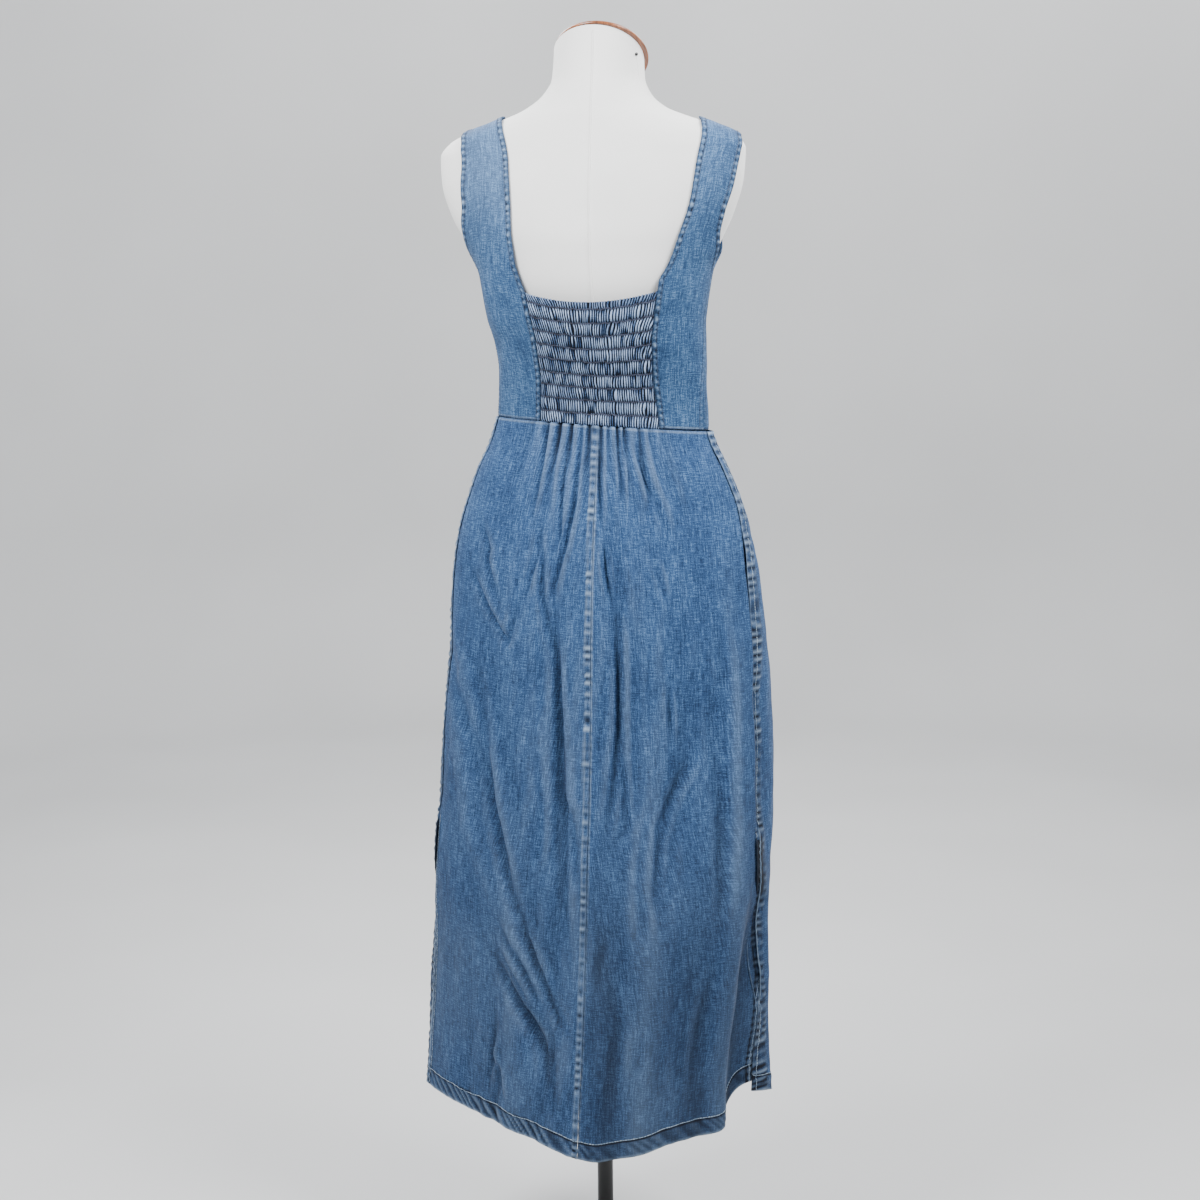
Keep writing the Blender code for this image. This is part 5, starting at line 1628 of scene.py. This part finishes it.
@dataclass
class FrontBodice:
    """The plain front with a low square neckline and both front straps."""

    strap_columns: int = 34
    centre_columns: int = 70
    low_rows: int = 78
    seam_share: float = 0.72  # of the low rows, up to the armhole
    strap_rows: int = 85
    edge: Edge = replace(BODICE_EDGE, seed=71)

    def edges(self, side: int) -> tuple[Array, Array]:
        """Guide points of the side edge up to the armhole's end, and of the strap above it.

        Args:
            side: 1 for the wearer's left, -1 for the right.
        Returns:
            The side edge, and the strap with its neck edge and armhole side by side.
        """
        seam = side_seam_guides(side, np.linspace(0, 1, BODICE_SEAM_ROWS))
        last = np.array([BACK_STRAP[side][0][3:]])
        arm = np.array(FRONT_ARMHOLE) * np.array([side, 1, 1])
        edge = np.vstack([seam, last, arm])
        run = along(edge[None], 1)[0]
        full = smooth_curve(run, edge, np.linspace(0, run[-1], self.low_rows))
        scale = side * (1.0 if side > 0 else FRONT_RIGHT_SCALE)
        straps = np.array(FRONT_STRAP) * np.array([scale, 1, 1, scale, 1, 1])
        straps = np.vstack([straps, np.array([BACK_STRAP[side][-1]])])
        corner = BODICE.ring(side * NECKLINE_TURN, NECKLINE_CORNER)
        neck = finer(np.vstack([corner, straps[:, :3]]), self.strap_rows, STRAP_CROWDING)
        outer = finer(np.vstack([arm[-1:], straps[:, 3:]]), self.strap_rows, STRAP_CROWDING)
        return full, np.hstack([neck, outer])

    def cloth(self) -> Cloth:
        """The panel, with the opening between its straps.

        Returns:
            Its outer face.
        """
        (low_left, high_left), (low_right, high_right) = self.edges(1), self.edges(-1)
        columns = 2 * self.strap_columns + self.centre_columns
        marks = (0, self.strap_columns, columns / 2, columns - self.strap_columns, columns)
        count = np.arange(columns + 1)
        away = (count - columns / 2) / (self.centre_columns / 2)
        part = np.linspace(0, 1, self.strap_columns + 1)[:, None]
        guides = np.zeros((self.low_rows + self.strap_rows, columns + 1, 3))
        for row, share in enumerate(np.linspace(0, 1, self.low_rows)):
            left, right = low_left[row], low_right[row]
            princess = PRINCESS_WAIST_TURN + (NECKLINE_TURN - PRINCESS_WAIST_TURN) * share
            corner = WAIST_HEIGHT + (NECKLINE_CORNER - WAIST_HEIGHT) * share
            centre = WAIST_HEIGHT + (NECKLINE_CENTRE - WAIST_HEIGHT) * share
            turn = np.interp(count, marks, (90, princess, 180, 360 - princess, 270))
            height = np.interp(count, marks, (left[2], corner, centre, corner, right[2]))
            height = np.where(np.abs(away) < 1, centre + (corner - centre) * away**2, height)
            guides[row] = BODICE.ring(turn, height)
            inner = guides[row, self.strap_columns].copy()
            guides[row, : self.strap_columns + 1] = left * (1 - part) + inner * part
            inner = guides[row, -self.strap_columns - 1].copy()
            guides[row, -self.strap_columns - 1 :] = inner * (1 - part) + right * part
        middle = slice(self.strap_columns + 1, -self.strap_columns - 1)
        for index in range(self.strap_rows):
            row = self.low_rows + index
            left, right = high_left[index], high_right[index]
            guides[row, : self.strap_columns + 1] = left[3:] * (1 - part) + left[:3] * part
            guides[row, -self.strap_columns - 1 :] = right[:3] * (1 - part) + right[3:] * part
            guides[row, middle] = guides[self.low_rows - 1, middle]
        plain = place_on_body(guides)
        run, down = along(plain, 1), along(plain, 0)
        rows = np.arange(len(guides))[:, None]
        seam_top = int(self.low_rows * self.seam_share)
        open_arm = 0.35 + 0.65 * fade(rows, seam_top, seam_top + 6)
        on_strap = fade(rows, self.low_rows - 2, self.low_rows + 1)
        first = run[:, self.strap_columns : self.strap_columns + 1] - run
        last = run - run[:, -self.strap_columns - 1 : -self.strap_columns]
        is_left, is_right = count <= self.strap_columns, count >= columns - self.strap_columns
        neck = np.where(is_left[None, :], first, np.where(is_right[None, :], last, FAR))
        neck = np.where(rows >= self.low_rows - 1, neck, FAR)
        below = down[self.low_rows - 1 : self.low_rows] - down
        bib = np.where(~(is_left | is_right)[None, :] & (rows < self.low_rows), below, FAR)
        face = Face(np.zeros(run.shape), np.zeros(run.shape), np.zeros(run.shape))
        for inward, along_edge, shown in (
            (run, down, open_arm), (run[:, -1:] - run, down, open_arm),
            (np.maximum(neck, 0), down, on_strap), (np.maximum(bib, 0), run, 1.0),
        ):
            face.turn_edge(self.edge, inward, along_edge, shown=shown)
        soft = (rows < self.low_rows) * np.sin(np.pi * np.clip(run / run[:, -1:], 0, 1))
        loose = 0.0010 * patchy(run / 0.035, down / 0.030, 81) + 0.0005 * patchy(run / 0.013, down / 0.03, 82)
        relief = face.relief - 0.0009 * bump(down, 0.0, 0.0016) + soft * loose
        points = place_on_body(guides, relief)
        points[0, :, 2] = waist_height(points[0, :, 0]) + SEAM_GAP / 2
        for column, side in ((0, 1), (-1, -1)):
            top = BACK_STRAP[side][0].arm_z
            sewn = points[:, column, 2] <= top + 1e-4
            points[sewn, column, 1] = seam_y(points[sewn, column, 2], side) - SEAM_GAP / 2
        points[-1, :, 1] = SHOULDER_Y - SEAM_GAP / 2
        gone = (self.low_rows - 1, slice(self.strap_columns, columns - self.strap_columns + 1))
        return Cloth(points, plain, face.wear_and_highlight, face.dye_and_shade, (0.40, 0.40), 0.107, Held.STRETCHED, gone)

    def stitches(self, cloth: Cloth) -> Stitching:
        """A row along the armholes and the waist.

        Args:
            cloth: the panel.
        Returns:
            The stitches.
        """
        sewn = Stitching()
        sewn.run(line_at(cloth.points, SEAM_LINE))
        sewn.run(line_at(cloth.points, SEAM_LINE, True))
        sewn.run(line_at(cloth.points[: self.low_rows], WAIST_LINE, columns=True))
        return sewn


@dataclass
class Shirring:
    """The centre-back panel, drawn up on rows of elastic thread."""

    pleats: int = 48
    per_pleat: int = 7
    elastic_rows: int = 9
    first_elastic: float = 0.098
    last_elastic: float = 0.937
    rows: int = 118
    pleat: float = 0.0023
    puff: float = 0.0011

    def elastic(self) -> Array:
        """The elastic rows' places, as shares of the panel's height."""
        return np.linspace(self.first_elastic, self.last_elastic, self.elastic_rows)

    def cloth(self) -> Cloth:
        """The panel's pleats, uneven from band to band and pinched at each elastic.

        Returns:
            Its outer face.
        """
        columns = self.pleats * self.per_pleat
        shares = np.linspace(0, 1, self.rows)[:, None]
        across = np.linspace(-1, 1, columns + 1)[None, :]
        elastic = self.elastic()
        knots = np.concatenate([[0.0], elastic, [1.0]])
        band = np.clip(np.searchsorted(knots, shares[:, 0], side="right") - 1, 0, len(knots) - 2)
        phase = ((shares[:, 0] - knots[band]) / (knots[band + 1] - knots[band]))[:, None]
        band = band[:, None]
        is_heading = band == len(knots) - 2
        open_up = np.where(is_heading, np.clip(phase * 1.6, 0, 1) ** 0.6, np.sin(np.pi * phase) ** 0.55)
        count = (across + 1) / 2 * self.pleats
        drift = 0.62 * patchy(count * 0.30, band + 0.5, 91) + 0.30 * patchy(count * 0.8, band * 3.0 + 0.5, 92)
        lean = (0.8 * patchy(count * 0.12, band * 2.0 + 0.5, 93) - 0.9 * across) * (phase - 0.5)
        fixed = 0.35 * patchy(count * 0.4, 4.5, 94)
        place = count + drift * open_up + lean + fixed
        height = 0.5 - 0.5 * np.cos(2 * np.pi * place)
        height = height**0.8 * (0.69 + 0.31 * patchy(count * 0.7, band * 5.0 + phase, 95))
        tuck = 0.45 + 0.55 * open_up
        relief = self.pleat * height * tuck + self.puff * open_up * (1 - 0.6 * is_heading)
        relief = relief * fade(1 - np.abs(across), 0.0, 0.035)
        at_elastic = sum(bump(shares, row, 0.0140) for row in elastic)
        # paler pleat crests, unevenly, from wear and painted highlight; painted shade in the pleat valleys
        # and along the pinched elastic rows
        bright = 0.85 + 0.50 * patchy(count * 0.45, band * 7.0 + 0.5, 96)
        wear_and_highlight = np.clip((height - 0.45) / 0.16, 0, 1) * (0.5 + 0.5 * open_up)
        wear_and_highlight = wear_and_highlight * bright * (1 - 0.40 * is_heading)
        dye_and_shade = np.clip((0.49 - height) / 0.18, 0, 1) + 0.65 * at_elastic
        half = np.interp(shares, SHIRRED_SHARES, SHIRRED_HALF) - SEAM_GAP / 2
        points_x = DRESS_CENTRE_X + half * across
        low = waist_height(points_x)
        frill = 0.0009 * (height - 0.5) * is_heading * phase
        top = SHIRRED_TOP_CENTRE + (SHIRRED_TOP_CORNER - SHIRRED_TOP_CENTRE) * across**2
        heights = low + (top - low) * shares + frill
        guides = np.stack([points_x, surface_y(points_x, heights), heights], axis=-1)
        plain = place_on_body(guides)
        points = plain.copy()
        points[..., 0] = points_x
        points[..., 1] += relief
        return Cloth(points, plain, wear_and_highlight, dye_and_shade, (0.32, 0.16), 0.039, Held.GATHERED)

    def stitches(self, cloth: Cloth) -> Stitching:
        """The rows of elastic thread, lying in the pinched pleats.

        Args:
            cloth: the panel.
        Returns:
            The stitches.
        """
        sewn = Stitching(length=0.0024, pitch=0.0026, width=0.0016, height=0.0007)
        for row in self.elastic():
            line = cloth.points[int(round(row * (self.rows - 1)))].copy()
            line[:, 1] = np.convolve(np.pad(line[:, 1], 6, mode="edge"), np.ones(13) / 13, "valid") + 0.0003
            line[:, 2] += 0.0014 * patchy(line[:, 0] / 0.0045, row * 60, 97)
            sewn.run(line)
        return sewn


@dataclass
class Bartack:
    """A dense block of stitches that locks the top of a vent."""

    width: float = 0.010
    rows: int = 7
    step: float = 0.0007
    rise: float = 0.0012

    def add_to(self, sewn: Stitching, middle: Array) -> None:
        """Adds its stitches, level, round a point.

        Args:
            sewn: the stitching that takes them.
            middle: the point on the cloth.
        """
        out = face_out(middle[None])[0]
        side = np.array([-out[1], out[0], 0.0])
        for row in range(self.rows):
            level = middle + out * self.rise + np.array([0, 0, (row - self.rows / 2) * self.step])
            sewn.run(np.array([level - side * self.width / 2, level + side * self.width / 2]))


# ---------------------------------------------------------------- the form and its stand
@dataclass
class DressForm:
    """The covered torso, its wooden neck cap, and the pole and base that it stands on."""

    bottom: float = 0.740
    neck_slant: float = math.radians(32)
    neck_back_height: float = 1.5190
    neck_back_y: float = 0.017
    cap_thickness: float = 0.004
    cap_overhang: float = 0.0020
    cap_shift_x: float = -0.0030
    pole_radius: float = 0.0100
    base_radius: float = 0.160
    base_thickness: float = 0.010
    pin_radius: float = 0.0020
    columns: int = 168

    def plane(self, points_y: Array, drop: float = 0.0) -> Array:
        """The slanted cut on top of the neck, lowered by drop along its normal."""
        fall = drop / math.cos(self.neck_slant)
        return self.neck_back_height + (points_y - self.neck_back_y) * math.tan(self.neck_slant) - fall

    def rim(self, drop: float, widen: float, shift_x: float) -> Array:
        """The neck's outline on the slanted plane.

        Args:
            drop: how far the plane is lowered along its normal.
            widen: how far the outline stands out from the neck.
            shift_x: how far it is moved sideways.
        Returns:
            A ring of points.
        """
        turn = np.arange(self.columns) * 360 / self.columns
        height = np.full(self.columns, self.neck_back_height)
        for _ in range(30):
            points = FORM.ring(turn, height, widen)
            height = self.plane(points[:, 1], drop)
        points = FORM.ring(turn, height, widen)
        points[:, 0] += shift_x
        points[:, 2] = self.plane(points[:, 1], drop)
        return points

    def skin(self, name: str, rings: Sequence[Array], finish: Finish) -> Object:
        """A closed body through rings of points.

        Args:
            name: the piece's name.
            rings: rings of points, bottom to top, with the same number each.
            finish: its finish.
        Returns:
            The object.
        """
        mesh_data = bmesh.new()
        lay_grid(mesh_data, np.array([np.vstack([ring, ring[:1]]) for ring in rings]) + RAISED)
        bmesh.ops.remove_doubles(mesh_data, verts=mesh_data.verts, dist=1e-6)
        rims = [edge for edge in mesh_data.edges if edge.is_boundary]
        bmesh.ops.holes_fill(mesh_data, edges=rims, sides=0)
        bmesh.ops.recalc_face_normals(mesh_data, faces=mesh_data.faces)
        for cap in (face for face in mesh_data.faces if len(face.verts) > 4):
            for edge in cap.edges:
                edge.smooth = False
        return to_object(name, mesh_data, finish)

    def torso(self) -> Object:
        """The covered torso.

        Returns:
            The object.
        """
        turn = np.arange(self.columns) * 360 / self.columns
        levels = np.concatenate([np.linspace(self.bottom, 1.36, 76), np.linspace(1.363, 1.424, 34)])
        rings = [FORM.ring(turn, np.full(self.columns, height)) for height in levels]
        rings.insert(0, rings[0] * (0.985, 0.985, 1.0))
        rings[0][:, 2] = self.bottom
        rings[1][:, 2] = self.bottom + 0.003
        rim = self.rim(0.0, 0.0, 0.0)
        low = rings[-1][:, 2].max()
        for share in np.linspace(0, 1, 22)[1:-1]:
            rings.append(FORM.ring(turn, low + (rim[:, 2] - low) * share))
        rings.append(rim)
        made = self.skin("torso_cover", rings, Finish.JERSEY)
        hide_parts("form_torso")
        return made

    def seam_tape(self, name: str, line: Array, width: float, height: float) -> Object:
        """A narrow raised seam along a line of points on the form.

        Args:
            name: the piece's name.
            line: the points.
            width: the seam's width.
            height: how far it stands out.
        Returns:
            The object.
        """
        steps = np.gradient(line, axis=0)
        out = face_out(line)
        side = np.cross(steps, out)
        side /= np.linalg.norm(side, axis=1, keepdims=True)
        offsets = np.linspace(-0.5, 0.5, 6)
        crown = height * (1 - (2 * offsets) ** 2) - 0.0002
        points = line[:, None] + side[:, None] * (offsets * width)[None, :, None]
        points = points + out[:, None] * crown[None, :, None]
        mesh_data = bmesh.new()
        lay_grid(mesh_data, points + RAISED)
        mesh_data.normal_update()
        first = mesh_data.faces[:][len(line)]
        if first.normal.dot(Vector(out[len(line) // 5])) < 0:
            bmesh.ops.reverse_faces(mesh_data, faces=mesh_data.faces)
        tape = to_object(name, mesh_data, Finish.HIGHLIGHT_TAPE)
        return tape

    def seams(self) -> None:
        """The cover's centre-back and centre-front seams, and the seam at the neck's right."""
        heights = np.linspace(1.05, 1.512, 120)
        section = FORM.at(heights)
        x = np.interp(heights, (1.20, 1.32, 1.44, 1.51), (-0.0125, -0.0070, -0.0035, -0.0020))
        turn = np.degrees(np.arctan2(x - section.middle_x, section.back - section.side_y))
        self.seam_tape("torso_back_seam", FORM.ring(turn, heights), 0.0026, 0.0016)
        neck = FORM.ring(np.linspace(-76, -68, 30), np.linspace(1.437, 1.487, 30))
        self.seam_tape("torso_neck_seam", neck, 0.0024, 0.0008)
        front = FORM.ring(180.0, np.linspace(0.75, 1.46, 120))
        self.seam_tape("torso_front_seam", front, 0.0022, 0.0007)

    def pin(self) -> None:
        """The black pin head beside the neck's seam."""
        mesh_data = bmesh.new()
        bmesh.ops.create_uvsphere(mesh_data, u_segments=16, v_segments=10, radius=self.pin_radius)
        at = FORM.ring(-66.0, 1.486, 0.0012) + RAISED
        bmesh.ops.translate(mesh_data, verts=mesh_data.verts, vec=Vector(at))
        to_object("neck_pin", mesh_data, Finish.BLACK)

    def cap(self) -> Object:
        """The wooden disc that closes the neck.

        Returns:
            The object.
        """
        lower = self.rim(-0.0003, self.cap_overhang, self.cap_shift_x)
        normal = np.array([0, -math.sin(self.neck_slant), math.cos(self.neck_slant)])
        middle = lower.mean(axis=0)
        rings = []
        for share in np.linspace(-90, 90, 13):
            inset = 0.0014 * (1 - math.cos(math.radians(share)))
            rise = self.cap_thickness / 2 * (1 + math.sin(math.radians(share)))
            flat = lower - middle
            size = np.linalg.norm(flat, axis=1, keepdims=True)
            rings.append(middle + flat * (1 - inset / size) + normal * rise)
        made = self.skin("neck_cap_wood", rings, Finish.WOOD)
        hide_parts("neck_cap")
        return made

    def turned(self, name: str, node: str, radius: float, low: float, high: float, rounding: float) -> Object:
        """A turned metal cylinder with rounded rims.

        Args:
            name: the piece's name.
            node: the part's node that it replaces.
            radius: its radius.
            low: the height of its underside.
            high: the height of its top.
            rounding: the radius of its rims.
        Returns:
            The object.
        """
        mesh_data = bmesh.new()
        bmesh.ops.create_cone(
            mesh_data, cap_ends=True, segments=96, radius1=radius, radius2=radius, depth=high - low,
            matrix=Matrix.Translation((0, 0, (low + high) / 2)),
        )
        rims = [edge for edge in mesh_data.edges if abs(edge.verts[0].co.z - edge.verts[1].co.z) < 1e-6]
        bmesh.ops.bevel(
            mesh_data, geom=rims, offset=rounding, affect="EDGES", segments=6, profile=0.5, material=-1,
        )
        made = to_object(name, mesh_data, Finish.BLACK)
        made.data.set_sharp_from_angle(angle=math.radians(40))
        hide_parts(node)
        return made

    def build(self) -> None:
        """Builds the form and its stand."""
        self.torso()
        self.seams()
        self.pin()
        self.cap()
        top = self.bottom + TABLE_DATUM
        gap = 0.0003
        self.turned("pole_tube", "pole", self.pole_radius, self.base_thickness + gap, top - gap, 0.0008)
        self.turned("base_plate", "base", self.base_radius, 0.0, self.base_thickness, 0.003)
        LOG.info("form: torso, seams, pin, cap, pole and base")


# ---------------------------------------------------------------- the studio
class Lamp(NamedTuple):
    """A square soft light: where it hangs, what it faces, its side in metres and its watts."""

    name: str
    at: Point
    aim: Point
    size: float
    watts: float


@dataclass
class Studio:
    """A pale cove, soft lights and the camera."""

    wall_radius: float = 4.2
    wall_height: float = 4.5
    cove: float = 0.6
    segments: int = 96
    lamps: tuple[Lamp, ...] = (
        Lamp("key_left", (0.78, 1.06, 2.35), (0.0, 0.0, 1.5), 0.7, 57),
        Lamp("key_right", (-1.20, 0.62, 2.35), (0.0, 0.0, 1.5), 0.7, 50),
        Lamp("front_left", (1.0, -1.05, 2.35), (0.0, 0.0, 1.4), 0.7, 30),
        Lamp("front_right", (-1.0, -1.05, 2.35), (0.0, 0.0, 1.4), 0.7, 30),
        Lamp("wall_wash", (0.0, -1.9, 3.9), (0.9, -4.2, 1.5), 2.0, 120),
    )
    fill_colour: str = "#e8eaee"
    fill_strength: float = 0.30
    camera_at: Point = (-0.51738, 2.24105, 1.179)
    heading: float = math.radians(13.0)
    pitch: float = math.radians(7.55)
    roll: float = math.radians(0.54)
    lens: float = 56.55

    def paper(self) -> Material:
        """Matt painted wall and floor, very slightly uneven.

        Returns:
            The material.
        """
        made, tree, shader = new_material("matt wall paint, pale grey", 0.95)
        place = add(tree, "ShaderNodeTexCoord").outputs["Object"]
        tone = add(tree, "ShaderNodeTexNoise", {"Scale": 1.4, "Detail": 2.0}, Vector=place).outputs["Fac"]
        tree.links.new(ramp(tree, tone, ((0.3, "#cfd0d1"), (0.7, "#d6d7d8"))), shader.inputs["Base Color"])
        return made

    def backdrop(self) -> None:
        """A floor that curves up into a round wall."""
        bends = np.radians(np.arange(0, 91, 10))
        radii = np.array([0.0, *(self.wall_radius - self.cove * (1 - np.sin(bends))), self.wall_radius])
        heights = np.array([0.0, *(self.cove * (1 - np.cos(bends))), self.wall_height])
        turn = np.linspace(0, 2 * math.pi, self.segments + 1)
        around = np.stack([np.cos(turn), np.sin(turn), np.ones_like(turn)], axis=-1)
        rings = np.stack([radii, radii, heights], axis=-1)
        mesh_data = bmesh.new()
        lay_grid(mesh_data, rings[:, None] * around[None])
        bmesh.ops.remove_doubles(mesh_data, verts=mesh_data.verts, dist=1e-6)
        bmesh.ops.reverse_faces(mesh_data, faces=mesh_data.faces)
        mesh = bpy.data.meshes.new("studio_cove")
        mesh_data.to_mesh(mesh)
        mesh_data.free()
        mesh.shade_smooth()
        mesh.materials.append(self.paper())
        made = bpy.data.objects.new("studio_cove", mesh)
        bpy.context.scene.collection.objects.link(made)

    def lights(self) -> None:
        """Two soft lights either side of the camera, two in front, one on the wall and an even fill."""
        for lamp in self.lamps:
            data = bpy.data.lights.new(lamp.name, "AREA")
            data.size = lamp.size
            data.energy = lamp.watts
            made = bpy.data.objects.new(lamp.name, data)
            made.location = lamp.at
            made.rotation_euler = (Vector(lamp.aim) - Vector(lamp.at)).to_track_quat("-Z", "Y").to_euler()
            bpy.context.scene.collection.objects.link(made)
        world = bpy.data.worlds.new("studio_fill")
        world.use_nodes = True
        fill = world.node_tree.nodes["Background"]
        fill.inputs["Color"].default_value = linear(self.fill_colour)
        fill.inputs["Strength"].default_value = self.fill_strength
        bpy.context.scene.world = world

    def camera(self) -> None:
        """The camera, a little left of straight behind, level with the bust and looking down."""
        data = bpy.data.cameras.new("camera")
        data.lens = self.lens
        data.sensor_width = 36.0
        data.dof.use_dof = False
        made = bpy.data.objects.new("camera", data)
        level = Vector((math.sin(self.heading), -math.cos(self.heading), 0.0))
        forward = level * math.cos(self.pitch) - Vector((0, 0, math.sin(self.pitch)))
        right = forward.cross(Vector((0, 0, 1))).normalized()
        up = right.cross(forward)
        sine, cosine = math.sin(self.roll), math.cos(self.roll)
        turned_right = right * cosine - up * sine
        turned_up = right * sine + up * cosine
        facing = Matrix((turned_right, turned_up, -forward)).transposed().to_4x4()
        made.matrix_world = Matrix.Translation(self.camera_at) @ facing
        bpy.context.scene.collection.objects.link(made)
        bpy.context.scene.camera = made

    def build(self) -> None:
        """Builds the studio."""
        self.backdrop()
        self.lights()
        self.camera()


# ---------------------------------------------------------------- assembly
@dataclass
class Dress:
    """The whole dress: its panels, their stitching and the vents' bartacks."""

    def panel(self, node: str, slot: str, maker: Any, finish: Finish, thread: Finish) -> None:
        """Args:
            node: the part's node that the panel replaces.
            slot: its material slot in the part.
            maker: the panel's own class, which makes its cloth and its stitches.
            finish: the cloth's finish.
            thread: the stitches' finish.
        """
        name = f"{node}_cloth"
        cloth = maker.cloth()
        made = cloth.build(name, finish)
        sewn = maker.stitches(cloth)
        if isinstance(maker, SkirtPanel) and maker.side == 0:
            for column in (0, -1):
                row = int(np.argmin(np.abs(cloth.points[:, column, 2] - VENT_TOP)))
                Bartack().add_to(sewn, cloth.points[row, column])
        threads = sewn.finish(f"{name}_stitches", thread, slot)
        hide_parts(node)
        LOG.info("%s: %d faces, %d stitch faces", name, len(made.data.polygons), len(threads.data.polygons))

    def build(self) -> None:
        """Builds every panel."""
        light = ("denim_light", Finish.LIGHT, Finish.NAVY)
        middle = ("denim_mid", Finish.MID, Finish.PALE)
        shirred = ("denim_shirred", Finish.SHIRRED, Finish.ELASTIC)
        for node, maker, (slot, finish, thread) in (
            ("back_side_left", BackSide(1), light), ("skirt_back_left", SkirtPanel(1), middle),
            ("back_side_right", BackSide(-1), light), ("skirt_back_right", SkirtPanel(-1), middle),
            ("front_bodice", FrontBodice(), light), ("skirt_front", SkirtPanel(0), middle),
            ("back_shirred", Shirring(), shirred),
        ):
            self.panel(node, slot, maker, finish, thread)


def main() -> None:
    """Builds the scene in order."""
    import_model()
    Studio().build()
    DressForm().build()
    Dress().build()


if __name__ == "__main__":
    main()
